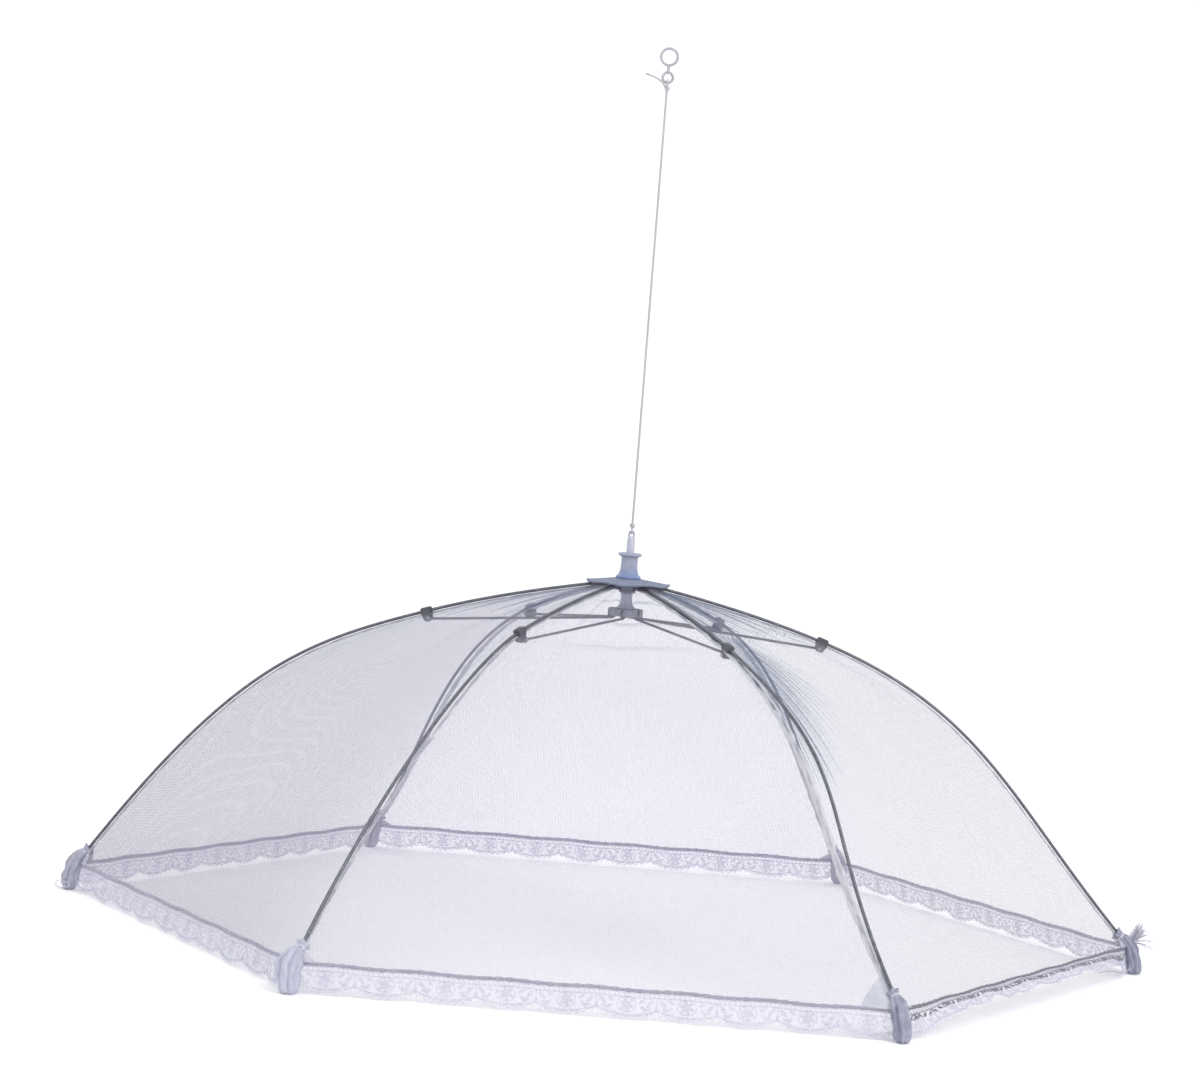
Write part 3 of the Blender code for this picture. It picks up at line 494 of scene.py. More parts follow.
def lace_thread():
    """Dense stitched filling of the lace's flowers and cords; points marked with painted shade turn dark."""
    recipe = Recipe("lace_thread", Roughness=0.8, Sheen_Weight=0.25, Specular_IOR_Level=0.25)
    across, down = recipe.uv()
    slant = ((across + down * 0.5) * (2 * math.pi / 0.00045)).wave()
    fine = recipe.noise(900.0, 2.0)
    broad = recipe.noise(60.0)
    colour = recipe.mix(broad.ease(0.35, 0.65), (0.76, 0.75, 0.86), (0.67, 0.66, 0.78))
    colour = recipe.mix(slant.ease(-1, 1) * 0.25, colour, (0.56, 0.55, 0.66))
    # painted shade marked on the front right lace
    deep = recipe.held("deep")
    return recipe.feed(
        Base_Color=recipe.mix(deep, colour, SHADED_CLOTH),
        Alpha=fine.ease(0.25, 0.5, 0.2, 0.44).most(deep * 0.85),
        Normal=recipe.bump(slant + fine, 0.00015, 0.5),
    )


def stitch_thread(name="stitch_thread", light=(0.47, 0.46, 0.56), shade=(0.30, 0.30, 0.38)):
    recipe = Recipe(name, Roughness=0.6, Sheen_Weight=0.3)
    fine = recipe.noise(1500.0, 2.0)
    return recipe.feed(
        Base_Color=recipe.mix(fine.ease(0.35, 0.65), light, shade),
        Roughness=fine.ease(0, 1, 0.5, 0.8),
        Normal=recipe.bump(fine, 0.00008, 0.5),
    )


def drawn_wire(name, light, dark, rough):
    """Drawn steel with lengthwise streaks and small rubbed spots."""
    recipe = Recipe(name, Metallic=0.85)
    streak = recipe.noise(1.0, 3.0, 0.6, recipe.stretched((90.0, 90.0, 900.0)))
    spots = recipe.noise(350.0, 4.0, 0.6)
    rubbed = spots.ease(0.58, 0.72)
    colour = recipe.mix(streak.ease(0.3, 0.7), dark, light)
    return recipe.feed(
        Base_Color=recipe.mix(rubbed * 0.6, colour, tuple(min(1.0, c * 1.9) for c in light)),
        Roughness=streak.ease(0.2, 0.8, rough - 0.08, rough + 0.14),
        Normal=recipe.bump(streak + spots * 0.5, 0.00005, 0.4),
    )


def moulded(name, light, shade, rough=0.42, foot=None):
    """Moulded plastic with faint flow marks and fine grain; where a foot is given, the colour shifts to its tint
    towards the bottom.
    """
    recipe = Recipe(name, Specular_IOR_Level=0.45, Subsurface_Weight=0.0)
    flow = recipe.noise(1.0, 4.0, 0.6, recipe.stretched((140.0, 140.0, 55.0)))
    grain = recipe.noise(2600.0, 2.0)
    colour = recipe.mix(flow.ease(0.3, 0.7), light, shade)
    if foot:
        low, high, tint = foot
        height = recipe.axes()[2]
        colour = recipe.mix(height.ease(high, low), colour, tint)
    return recipe.feed(
        Base_Color=colour,
        Roughness=flow.ease(0.2, 0.8, rough - 0.06, rough + 0.12),
        Normal=recipe.bump(grain + flow * 0.6, 0.00003, 0.35),
    )


def twisted_yarn(name, light, shade):
    """Soft fibres of a laid cord."""
    recipe = Recipe(name, Roughness=0.75, Sheen_Weight=0.3)
    across, down = recipe.uv()
    fibre = ((across + down * 3.0) * (2 * math.pi / 0.0005)).wave()
    fuzz = recipe.noise(1400.0, 2.0)
    return recipe.feed(
        Base_Color=recipe.mix((fibre * 0.3 + fuzz).ease(0.2, 0.8), light, shade),
        Roughness=fuzz.ease(0.2, 0.8, 0.65, 0.9),
        Normal=recipe.bump(fibre + fuzz, 0.0001, 0.6),
    )


def pale_floor():
    recipe = Recipe("pale_floor", Specular_IOR_Level=0.1)
    grain = recipe.noise(3.0)
    return recipe.feed(
        Base_Color=recipe.mix(grain, (0.955, 0.955, 0.96), (0.945, 0.945, 0.95)),
        Roughness=grain.ease(0.2, 0.8, 0.85, 0.95),
    )


FINISHES = {}


def mix_finishes():
    FINISHES.update(
        netting=netting(),
        lace_ground=lace_ground(),
        lace_thread=lace_thread(),
        stitch=stitch_thread(),
        frayed=stitch_thread("frayed_thread", (0.62, 0.61, 0.70), (0.45, 0.45, 0.53)),
        band=woven_cloth("seam_band_cloth", (0.78, 0.78, 0.84), (0.66, 0.66, 0.73), 0.25, 0.0007),
        hem=woven_cloth("hem_cloth", (0.53, 0.52, 0.63), (0.44, 0.43, 0.53), 0.5),
        pocket=woven_cloth("pocket_cloth", (0.46, 0.47, 0.58), (0.31, 0.32, 0.42), 0.66),
        pocket_grey=woven_cloth("pocket_cloth_grey", (0.55, 0.55, 0.65), (0.43, 0.43, 0.53), 0.6),
        pocket_pale=woven_cloth("pocket_cloth_pale", (0.66, 0.68, 0.79), (0.55, 0.57, 0.69), 0.52),
        patch=woven_cloth("patch_cloth", (0.24, 0.27, 0.37), (0.17, 0.20, 0.30), 0.88),
        gusset=woven_cloth("gusset_net", (0.60, 0.60, 0.70), (0.48, 0.48, 0.58), 0.3, 0.0009),
        rib=drawn_wire("rib_wire", (0.18, 0.183, 0.21), (0.11, 0.113, 0.135), 0.44),
        strut=drawn_wire("strut_wire", (0.21, 0.205, 0.215), (0.13, 0.125, 0.13), 0.45),
        ring_wire=drawn_wire("ring_wire", (0.42, 0.42, 0.43), (0.25, 0.25, 0.27), 0.35),
        rivet=drawn_wire("rivet_steel", (0.40, 0.40, 0.41), (0.22, 0.22, 0.23), 0.35),
        clip=moulded("clip_plastic", (0.105, 0.105, 0.12), (0.07, 0.07, 0.085), 0.5),
        collar=moulded("crown_plastic", (0.36, 0.38, 0.47), (0.28, 0.30, 0.39), 0.42,
                       foot=(COLLAR_FLOOR, COLLAR_FLOOR + 0.009, (0.17, 0.23, 0.42))),
        holder=moulded("holder_plastic", (0.26, 0.27, 0.32), (0.20, 0.21, 0.26), 0.5),
        runner=moulded("runner_plastic", (0.24, 0.245, 0.28), (0.18, 0.185, 0.22), 0.5),
        spindle=moulded("spindle_plastic", (0.47, 0.48, 0.57), (0.37, 0.38, 0.46), 0.4),
        pull_ring=moulded("ring_plastic", (0.45, 0.45, 0.48), (0.33, 0.33, 0.37), 0.38),
        cord=twisted_yarn("cord_yarn", (0.62, 0.62, 0.65), (0.45, 0.45, 0.48)),
    )


# ---- helpers for pieces ----


def link_piece(name, mesh, finish):
    piece = bpy.data.objects.new(name, mesh)
    bpy.context.scene.collection.objects.link(piece)
    return finished(piece, finish)


def finished(piece, finish):
    piece.data.materials.clear()
    piece.data.materials.append(FINISHES[finish])
    return piece


def from_points(name, points, faces, finish, flat=None, smooth=True):
    """A piece from points and faces; flat gives each point's flat lengths."""
    mesh = bpy.data.meshes.new(name)
    mesh.from_pydata([tuple(p) for p in points], [], faces)
    if flat:
        lengths = mesh.uv_layers.new(name="flat")
        for loop in mesh.loops:
            lengths.data[loop.index].uv = flat[loop.vertex_index]
    if smooth:
        mesh.shade_smooth()
    mesh.update()
    return link_piece(name, mesh, finish)


def tube(points, radius, sides=8, closed=False, lobes=0, lobe_share=0.0, turn=0.0):
    """Rings of points along a route, as (points, faces, flat lengths)."""
    count = len(points)
    found, faces, flat = [], [], []
    route = [Vector(p) for p in points]
    if closed:
        aheads = [(route[(i + 1) % count] - route[i - 1]).normalized() for i in range(count)]
    else:
        aheads = [(route[min(i + 1, count - 1)] - route[max(i - 1, 0)]).normalized() for i in range(count)]
    across = aheads[0].orthogonal().normalized()
    run = 0.0
    for i, (spot, ahead) in enumerate(zip(route, aheads)):
        if i:
            across = aheads[i - 1].rotation_difference(ahead) @ across
            run += (spot - route[i - 1]).length
        across = (across - ahead * across.dot(ahead)).normalized()
        beside = ahead.cross(across)
        size = radius(i / (count - 1)) if callable(radius) else radius
        for side in range(sides):
            angle = 2 * math.pi * side / sides
            swell = 1 + lobe_share * math.cos(lobes * (angle - turn * run)) if lobes else 1.0
            found.append(spot + (across * math.cos(angle) + beside * math.sin(angle)) * size * swell)
            flat.append((angle * size, run))
    last = count if closed else count - 1
    for i in range(last):
        for side in range(sides):
            a, b = i * sides + side, i * sides + (side + 1) % sides
            c, d = (b + sides) % (count * sides), (a + sides) % (count * sides)
            faces.append((a, b, c, d))
    if not closed:
        faces.append(tuple(range(sides - 1, -1, -1)))
        faces.append(tuple(range((count - 1) * sides, count * sides)))
    return found, faces, flat


class Parts:
    """Gathers several shells into one piece."""

    def __init__(self):
        self.points, self.faces, self.flat = [], [], []

    def add(self, points, faces, flat=None):
        start = len(self.points)
        self.points += [Vector(p) for p in points]
        self.faces += [tuple(start + corner for corner in face) for face in faces]
        self.flat += flat or [(p[0], p[2]) for p in points]
        return self

    def piece(self, name, finish, smooth=True):
        return from_points(name, self.points, self.faces, finish, self.flat, smooth)


def smooth_route(points, steps):
    """Points on a smooth curve through a route's own points."""
    padded = [points[0]] + list(points) + [points[-1]]
    found = []
    for a, b, c, d in zip(padded, padded[1:], padded[2:], padded[3:]):
        a, b, c, d = Vector(a), Vector(b), Vector(c), Vector(d)
        for step in range(steps):
            t = step / steps
            found.append(
                b + (c - a) * t / 2
                + (a * 2 - b * 5 + c * 4 - d) * t * t / 2
                + (b * 3 - a - c * 3 + d) * t ** 3 / 2
            )
    return found + [Vector(points[-1])]


def rib_frame(rib):
    """A rib plane's normal and a point on the axis."""
    angle = azimuth(rib)
    return (-math.sin(angle), math.cos(angle), 0.0), (0.0, 0.0, PIVOT.y)


def rides_rib(piece, rib, gathers=True):
    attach(piece, f"rib_{rib + 1}")
    if gathers:
        normal, anchor = rib_frame(rib)
        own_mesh(piece)
    return piece


def wear(node, finish):
    NODES[node].data.materials.clear()
    NODES[node].data.materials.append(FINISHES[finish])


# ---- pull cord, knots and ring ----

CORD_LAY = 0.0042
FINGER_RING_RADIUS = 0.00505
TIE_RING_RADIUS = 0.0031
RING_WIRE_RADIUS = 0.00082


def knot_route(centre, turns, reach, height, steps=56):
    """A lumpy overhand knot drawn tight."""
    route = []
    for step in range(steps):
        t = 2 * math.pi * step / steps
        out = math.sin(t) + 2 * math.sin(2 * t)
        side = math.cos(t) - 2 * math.cos(2 * t)
        route.append(Vector(centre) + Vector((out * reach / 3, side * reach / 3, -math.sin(3 * t + turns) * height)))
    return route


def eye_loop(height, radius, steps=22):
    return [Vector((0, radius * math.cos(2 * math.pi * n / steps), height + radius * math.sin(2 * math.pi * n / steps)))
            for n in range(steps)]


def make_cord():
    steps = 560
    route = [Vector((0, 0, CORD_BOTTOM + (CORD_TOP - CORD_BOTTOM) * n / steps)) for n in range(steps + 1)]
    shell = tube(route, CORD_RADIUS, 15, lobes=3, lobe_share=0.11, turn=2 * math.pi / CORD_LAY)
    cord = Parts().add(*shell).piece("pull_cord", "cord")
    low = Parts().add(*tube(eye_loop(EYE_BAR_HEIGHT, 0.00145), CORD_RADIUS * 0.92, 10, closed=True))
    low.add(*tube(knot_route((0, 0, 0.2511), 0.3, 0.00115, 0.0009), CORD_RADIUS * 0.86, 8, closed=True))
    low.add(*tube([(0, 0, 0.2495), (0.0001, 0, 0.2511), (0, 0, CORD_BOTTOM)], CORD_RADIUS, 12))
    low_knot = low.piece("eye_knot", "cord")
    bar = TIE_RING_HEIGHT - TIE_RING_RADIUS
    high_centre = CORD_TOP + 0.0022
    high = Parts().add(*tube(eye_loop(bar, 0.0018), CORD_RADIUS * 0.92, 10, closed=True))
    high.add(*tube(knot_route((0, 0, high_centre), 0.9, 0.0012, 0.001), CORD_RADIUS * 0.88, 8, closed=True))
    high.add(*tube([(0, 0, CORD_TOP), (-0.0001, 0, high_centre), (0, 0, bar - 0.0016)], CORD_RADIUS, 12))
    tail = [p + Vector((0, 0, high_centre)) for p in smooth_route(TAIL_ROUTE, 8)]
    high.add(*tube(tail, lambda share: CORD_RADIUS * (1.0 - 0.25 * share), 12, lobes=3, lobe_share=0.1,
                   turn=2 * math.pi / CORD_LAY))
    dice = random.Random(5)
    end, ahead = tail[-1], (tail[-1] - tail[-4]).normalized()
    for _ in range(9):
        lean = Vector((dice.uniform(-1, 1), dice.uniform(-1, 1), dice.uniform(-1, 1))) * 0.0009
        tip = end + ahead * dice.uniform(0.0009, 0.0021) + lean
        strand = [end - ahead * 0.0006, (end + tip) / 2 + lean * 0.3, tip]
        high.add(*tube(strand, lambda share: 0.00015 * (1 - 0.6 * share), 5))
    high_knot = high.piece("ring_knot_loop", "cord")
    for piece, node in ((cord, "cord"), (low_knot, "spindle_knot"), (high_knot, "ring_knot")):
        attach(piece, "runner")
        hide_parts(node)
    ring = make_pull_ring()


def start_fresh():
    if bpy.context.object and bpy.context.object.mode != "OBJECT":
        bpy.ops.object.mode_set(mode="OBJECT")
    bpy.context.tool_settings.mesh_select_mode = (True, False, False)
    bpy.ops.object.select_all(action="DESELECT")


def unpicked(edges=False):
    """The edited mesh with nothing selected, in edge or face mode."""
    mesh = bmesh.from_edit_mesh(bpy.context.object.data)
    bpy.context.tool_settings.mesh_select_mode = (False, edges, not edges)
    for part in (mesh.verts, mesh.edges, mesh.faces):
        for item in part:
            item.select = False
    return mesh


def pick(test):
    """Select the edited mesh's faces that pass a test, and nothing else."""
    mesh = unpicked()
    for face in mesh.faces:
        face.select_set(bool(test(face)))
    mesh.select_flush_mode()
    bmesh.update_edit_mesh(bpy.context.object.data)


def pick_edges(test):
    """Select the edited mesh's edges whose two ends pass a test, and nothing else."""
    mesh = unpicked(edges=True)
    for edge in mesh.edges:
        edge.select_set(bool(test(edge.verts[0].co, edge.verts[1].co)))
    bmesh.update_edit_mesh(bpy.context.object.data)


def settle(name, finish, bevel=0.0, segments=2, angle=35.0, levels=0):
    """Apply the finishing modifiers, put the piece's place in its mesh, name it."""
    piece = bpy.context.object
    if piece.mode != "OBJECT":
        bpy.ops.object.mode_set(mode="OBJECT")
    bpy.ops.object.transform_apply(location=True, rotation=True, scale=True)
    if bevel:
        edge = piece.modifiers.new("edge", "BEVEL")
        edge.width = bevel
        edge.segments = segments
        edge.limit_method = "ANGLE"
        edge.angle_limit = math.radians(angle)
        bpy.ops.object.modifier_apply(modifier=edge.name)
    if levels:
        soft = piece.modifiers.new("soft", "SUBSURF")
        soft.levels = soft.render_levels = levels
        bpy.ops.object.modifier_apply(modifier=soft.name)
    bpy.ops.object.shade_smooth_by_angle(angle=math.radians(40.0))
    piece.name = name
    return finished(piece, finish)


def turned_stack(outline, sides=64):
    """Edit a circle up through (radius, height) steps, as on a lathe."""
    start_fresh()
    radius, height = outline[0]
    bpy.ops.mesh.primitive_circle_add(vertices=sides, radius=radius, location=(0, 0, height))
    bpy.ops.object.transform_apply(location=True, rotation=False, scale=False)
    bpy.ops.object.mode_set(mode="EDIT")
    bpy.ops.mesh.select_all(action="SELECT")
    for new_radius, new_height in outline[1:]:
        bpy.ops.mesh.extrude_region_move(TRANSFORM_OT_translate={"value": (0, 0, new_height - height)})
        share = new_radius / radius
        bpy.ops.transform.resize(value=(share, share, 1), center_override=(0, 0, new_height))
        radius, height = new_radius, new_height
    return radius, height


def cap_ends():
    """Close the open rings of the edited mesh."""
    bpy.context.tool_settings.mesh_select_mode = (False, True, False)
    bpy.ops.mesh.select_all(action="DESELECT")
    bpy.ops.mesh.select_non_manifold()
    bpy.ops.mesh.edge_face_add()
    bpy.ops.mesh.select_all(action="SELECT")
    bpy.ops.mesh.normals_make_consistent(inside=False)
    bpy.ops.object.mode_set(mode="OBJECT")


def close_bore():
    """Join the last ring to the first, so the wall is closed."""
    bpy.ops.mesh.select_all(action="SELECT")
    bpy.ops.mesh.remove_doubles(threshold=0.00001)
    bpy.ops.mesh.select_all(action="SELECT")
    bpy.ops.mesh.normals_make_consistent(inside=False)


def upright_torus(height, radius, wire, stretch, steps, sides):
    """Edit a torus that stands on edge across Y, stretched about its centre."""
    start_fresh()
    bpy.ops.mesh.primitive_torus_add(
        location=(0, 0, height), rotation=(math.pi / 2, 0, 0), major_segments=steps, minor_segments=sides,
        major_radius=radius, minor_radius=wire,
    )
    bpy.ops.object.transform_apply(location=True, rotation=True, scale=True)
    bpy.ops.object.mode_set(mode="EDIT")
    bpy.ops.mesh.select_all(action="SELECT")
    bpy.ops.transform.resize(value=stretch, center_override=(0, 0, height))


def weld(whole, *others):
    """Unite solids with the first one."""
    start_fresh()
    bpy.context.view_layer.objects.active = whole
    whole.select_set(True)
    for other in others:
        joint = whole.modifiers.new("joint", "BOOLEAN")
        joint.operation = "UNION"
        joint.solver = "EXACT"
        joint.object = other
        bpy.ops.object.modifier_apply(modifier=joint.name)
        bpy.data.objects.remove(other, do_unlink=True)


def make_pull_ring():
    """Finger ring with a tie ring below, flattened and with a parting line."""
    rings = []
    for radius, height, steps in ((FINGER_RING_RADIUS, RING_HEIGHT, 72), (TIE_RING_RADIUS, TIE_RING_HEIGHT, 52)):
        upright_torus(height, radius, RING_WIRE_RADIUS, (1, 1.14, 1), steps, 16)
        outer = radius + 0.00066
        pick(lambda face: math.hypot(face.calc_center_median().x, face.calc_center_median().z - height) > outer)
        bpy.ops.mesh.inset(thickness=0.0001, depth=0.00005)
        bpy.ops.object.mode_set(mode="OBJECT")
        rings.append(bpy.context.object)
    turned_stack([(0.0013, 0.5285), (0.00105, 0.5295), (0.00092, 0.5309), (0.00105, 0.5322), (0.0013, 0.5333)], 32)
    cap_ends()
    weld(*rings, bpy.context.object)
    piece = settle("finger_ring", "pull_ring")
    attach(piece, "runner")
    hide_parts("pull_ring")
    return piece


# ---- crown, runner and spindle ----

EYE_RADIUS = 0.00155
EYE_WIRE_RADIUS = 0.00062
PATCH_RADIUS = 0.0253
PATCH_HUB = 0.0048
# Beyond this radius the patch slopes down with the ribs
PATCH_FLAT = 0.010


def make_crown_collar():
    floor, top = COLLAR_FLOOR, COLLAR_TOP
    outline = [
        (0.00275, HOLDER_TOP + 0.0004), (0.0045, HOLDER_TOP + 0.0004), (0.0045, floor),
        (0.0077, floor), (0.0078, floor + 0.0008), (0.00755, floor + 0.0014),
        (0.0066, floor + 0.0022), (0.0059, floor + 0.0034), (0.00545, floor + 0.0052), (0.0052, floor + 0.0075),
        (0.0051, floor + 0.0105), (0.00515, top - 0.0029), (0.0055, top - 0.0023),
        (0.0066, top - 0.0019), (0.0072, top - 0.0016), (0.00725, top - 0.0005), (0.0069, top),
        (0.0045, top), (0.0034, top - 0.0004), (0.0029, top - 0.0012), (0.00275, top - 0.0026),
        (0.00275, HOLDER_TOP + 0.0004),
    ]
    turned_stack(outline, 72)
    close_bore()
    piece = settle("crown_boss", "collar", bevel=0.00018, segments=2, angle=50.0)
    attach(piece, "crown")
    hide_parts("crown_collar")


def make_spindle():
    foot = RUNNER_FLOOR - 0.0003
    outline = [
        (0.0024, foot - 0.0009), (0.0031, foot - 0.0007), (0.0031, foot), (0.00245, foot),
        (0.00245, RUNNER_TOP + 0.0003), (0.0056, RUNNER_TOP + 0.0003), (0.0053, RUNNER_TOP + 0.0011),
        (0.0042, RUNNER_TOP + 0.0023), (0.0036, RUNNER_TOP + 0.0038), (0.00337, RUNNER_TOP + 0.0055),
        (0.00335, 0.2077), (0.0037, 0.2085), (0.0037, 0.2093), (0.00245, 0.2095),
        (0.00245, SPINDLE_TOP - 0.0022), (0.00225, SPINDLE_TOP - 0.0008), (0.0016, SPINDLE_TOP + 0.0002),
    ]
    turned_stack(outline, 48)
    cap_ends()
    rod = bpy.context.object
    middle = SPINDLE_TOP + 0.0012
    taller = (EYE_BAR_HEIGHT - middle) / EYE_RADIUS
    upright_torus(middle, EYE_RADIUS, EYE_WIRE_RADIUS, (1, 1.25, taller), 48, 14)
    bpy.ops.object.mode_set(mode="OBJECT")
    weld(rod, bpy.context.object)
    piece = settle("spindle_rod", "spindle")
    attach(piece, "runner")
    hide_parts("spindle")


def make_patch():
    """Round cloth cap, laid over the ribs and stitched near its turned edge."""
    rings, steps = 18, 144
    points, faces, flat = [], [], []
    for ring in range(rings + 1):
        out = PATCH_HUB + (PATCH_RADIUS - PATCH_HUB) * ring / rings
        past = max(out - PATCH_FLAT, 0.0)
        share = past / (PATCH_RADIUS - PATCH_FLAT)
        fall = past * math.tan(RIB_TOP_SLOPE)
        for step in range(steps):
            angle = 2 * math.pi * step / steps
            over_rib = math.cos(RIB_COUNT * angle)
            ripple = 0.0003 * share * over_rib + 0.0002 * share * math.sin(5 * angle + 0.7)
            rim = out * (1 + 0.014 * share * math.sin(3 * angle + 1.1) + 0.008 * share * math.sin(13 * angle))
            points.append(Vector((
                rim * math.cos(angle), rim * math.sin(angle), HOLDER_TOP + 0.00075 - fall * 0.92 + ripple,
            )))
            flat.append((out * math.cos(angle), out * math.sin(angle)))
    for ring in range(rings):
        for step in range(steps):
            a, b = ring * steps + step, ring * steps + (step + 1) % steps
            faces.append((a, b, b + steps, a + steps)[::-1])
    piece = from_points("crown_patch", points, faces, "patch", flat)
    thicken(piece, 0.0005)
    welt = Parts().add(*tube(points[-steps:], 0.00055, 8, closed=True)).piece("patch_welt", "patch")
    stitches = Parts()
    for step in range(0, steps, 3):
        start, end = points[(rings - 2) * steps + step], points[(rings - 2) * steps + (step + 2) % steps]
        lift = Vector((0, 0, 0.00034))
        stitches.add(*tube([start + lift * 0.3, (start + end) / 2 + lift, end + lift * 0.3], 0.00016, 5))
    seam = stitches.piece("patch_stitches", "stitch")
    for part in (piece, welt, seam):
        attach(part, "crown")
    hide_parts("top_patch")


def thicken(piece, thickness):
    start_fresh()
    bpy.context.view_layer.objects.active = piece
    piece.select_set(True)
    wall = piece.modifiers.new("wall", "SOLIDIFY")
    wall.thickness = thickness
    wall.offset = 0.0
    bpy.ops.object.modifier_apply(modifier=wall.name)


# ---- net canopy ----

# Per gore, how strongly its folds gather beside its first and its second rib
GATHERS = ((0.45, 0.35), (0.3, 0.3), (0.4, 0.6), (0.5, 1.25), (0.25, 0.3), (2.3, 0.5))
# How far down from the crown each gore's folds reach, and how dense they are at the crown
FOLD_REACH = (0.5, 0.45, 0.5, 0.72, 0.4, 0.56)
CROWN_FOLDS = (0.8, 0.25, 0.4, 0.55, 0.12, 1.5)
# How wide each gore's gathers spread beside its ribs, against the others
FOLD_WIDTHS = (1.0, 1.0, 1.0, 1.0, 1.0, 1.9)
# How thick each gore's threads look, the thick ones also darkened with painted shade, and how grey they are
GORE_WEIGHTS_AND_SHADE = (1.4, 1.7, 2.0, 2.5, 1.05, 1.6)
GORE_GREYS = (0.85, 0.2, 0.45, 0.6, 0.1, 1.0)
# Tension lines across the back gore: radius, half width and strength; they show as denser net with painted shade
BACK_LINES = ((0.029, 0.0026, 0.5), (0.060, 0.0026, 0.55), (0.093, 0.0045, 0.3))
BACK_GORE = 1
FRONT_RIGHT = 5
# The fan of creases below the front right clip: its start as a share of the gore, its reach in metres, its middle
# and half width as turns from the rib, how far it pulls the creases round, and its strength
FAN_START = 0.125
FAN_REACH = 0.07
FAN_TURN, FAN_HALF = 0.5, 0.42
FAN_PULL = 0.6
FAN_STRENGTH = 1.9
HALF_COLUMNS = 26
NET_ROWS = 78


def pleats(gore, u):
    """Height of the folds across a gore, about -1 to 1."""
    dice = random.Random(17 + gore)
    found = 0.0
    for waves, weight in ((4.0, 0.5), (7.0, 0.32), (11.0, 0.18)):
        shift = dice.uniform(0, 2 * math.pi)
        skew = dice.uniform(-0.6, 0.6)
        found += weight * math.sin(2 * math.pi * waves * (u + skew * u * (1 - u)) + shift)
    return found


def fold_height(gore, u, v):
    edge = math.sin(math.pi * u) ** 0.5 if 0 < u < 1 else 0.0
    start = min(v * 9, 1.0)
    fade = max(1 - v / 0.62, 0.0) ** 1.4
    slack = 0.0009 * math.sin(math.pi * v) * math.sin(2 * math.pi * (1.5 * u + 0.31 * gore)) * edge
    return 0.0021 * pleats(gore, u) * edge * start * fade + slack


def across_gores(table, gore, u):
    """A gore's own value, even across its seams."""
    beside = table[(gore + (1 if u > 0.5 else -1)) % RIB_COUNT]
    share = abs(u - 0.5) ** 2 * 2
    return table[gore] * (1 - share) + beside * share


def gather_at(gore, u, v):
    """How densely the net is gathered, from 0 to 1; the netting shows it as denser net and as painted shade."""
    spread = (0.07 + 0.26 * v * (1 - v)) * FOLD_WIDTHS[gore]
    first, second = GATHERS[gore]
    beside = first * math.exp(-((u / spread) ** 2)) + second * math.exp(-(((1 - u) / spread) ** 2))
    stripe = 0.5 + 0.5 * pleats(gore, u)
    streak = max(stripe - 0.2, 0.0) / 0.8
    crown = CROWN_FOLDS[gore] * math.exp(-((v / 0.11) ** 2))
    fan = beside * max(1 - v / FOLD_REACH[gore], 0.0) ** 0.8 * (0.3 + 0.7 * streak)
    veil = 0.14 * max(1 - v / 0.7, 0.0) * streak
    return min(crown * (0.4 + 0.4 * stripe) + 0.85 * fan + veil, 1.0)


def line_at(gore, u, v):
    """How strongly a tension line across the back gore shows."""
    if gore != BACK_GORE:
        return 0.0
    lines = sum(power * math.exp(-(((v * RIM_RADIUS - at) / half) ** 2)) for at, half, power in BACK_LINES)
    return lines * math.exp(-(((u - 0.45) / 0.32) ** 4))


def gore_point(gore, v, u):
    """A place on the net, v from crown to hem and u from one rib to the next."""
    t = SEAM_START_T + (1 - SEAM_START_T) * v
    after = (gore + 1) % RIB_COUNT
    here, there, inward = seam_point(gore, t), seam_point(after, t), rib_inward(gore, t)
    first = arm_point(azimuth(gore), here.x, 0, here.y)
    last = arm_point(azimuth(after), there.x, 0, there.y)
    draw = arm_point(azimuth(gore, 0.5), inward.x, 0, inward.y)
    bow = NET_BOW * 4 * u * (1 - u) * math.sin(math.pi * v)
    return first.lerp(last, u) + draw * (bow + fold_height(gore, u, v))


def gore_flat(gore):
    """A gore's width at each row and its length down to it, laid flat."""
    widths, runs, last = [], [], None
    for row in range(NET_ROWS + 1):
        first, last_edge = gore_point(gore, row / NET_ROWS, 0.0), gore_point(gore, row / NET_ROWS, 1.0)
        middle = (first + last_edge) / 2
        widths.append((last_edge - first).length)
        runs.append(runs[-1] + (middle - last).length if runs else 0.0)
        last = middle
    return widths, runs


GORE_FLATS = [gore_flat(gore) for gore in range(RIB_COUNT)]


def fold_fan(gore, u, row):
    """Where a place lies among its gore's creases, and how dense a fan of them is there."""
    if gore != FRONT_RIGHT or row / NET_ROWS < FAN_START:
        return u * math.pi / 3, 0.0
    widths, runs = GORE_FLATS[gore]
    beside = u * widths[row] + 0.003
    below = runs[row] - runs[int(FAN_START * NET_ROWS)] + 0.006
    turn, reach = math.atan2(beside, below), math.hypot(beside, below)
    window = math.exp(-(((turn - FAN_TURN) / FAN_HALF) ** 4))
    crease = u * math.pi / 3 + FAN_PULL * turn * min(below / 0.02, 1.0)
    return crease, FAN_STRENGTH * window * math.exp(-((reach / FAN_REACH) ** 2))


def net_columns(rib):
    """The (gore, u) places of a canopy piece, from one gore's middle to the next's."""
    left = [((rib - 1) % RIB_COUNT, 0.5 + 0.5 * n / HALF_COLUMNS) for n in range(HALF_COLUMNS + 1)]
    right = [(rib, 0.5 * n / HALF_COLUMNS) for n in range(HALF_COLUMNS + 1)]
    return left, right


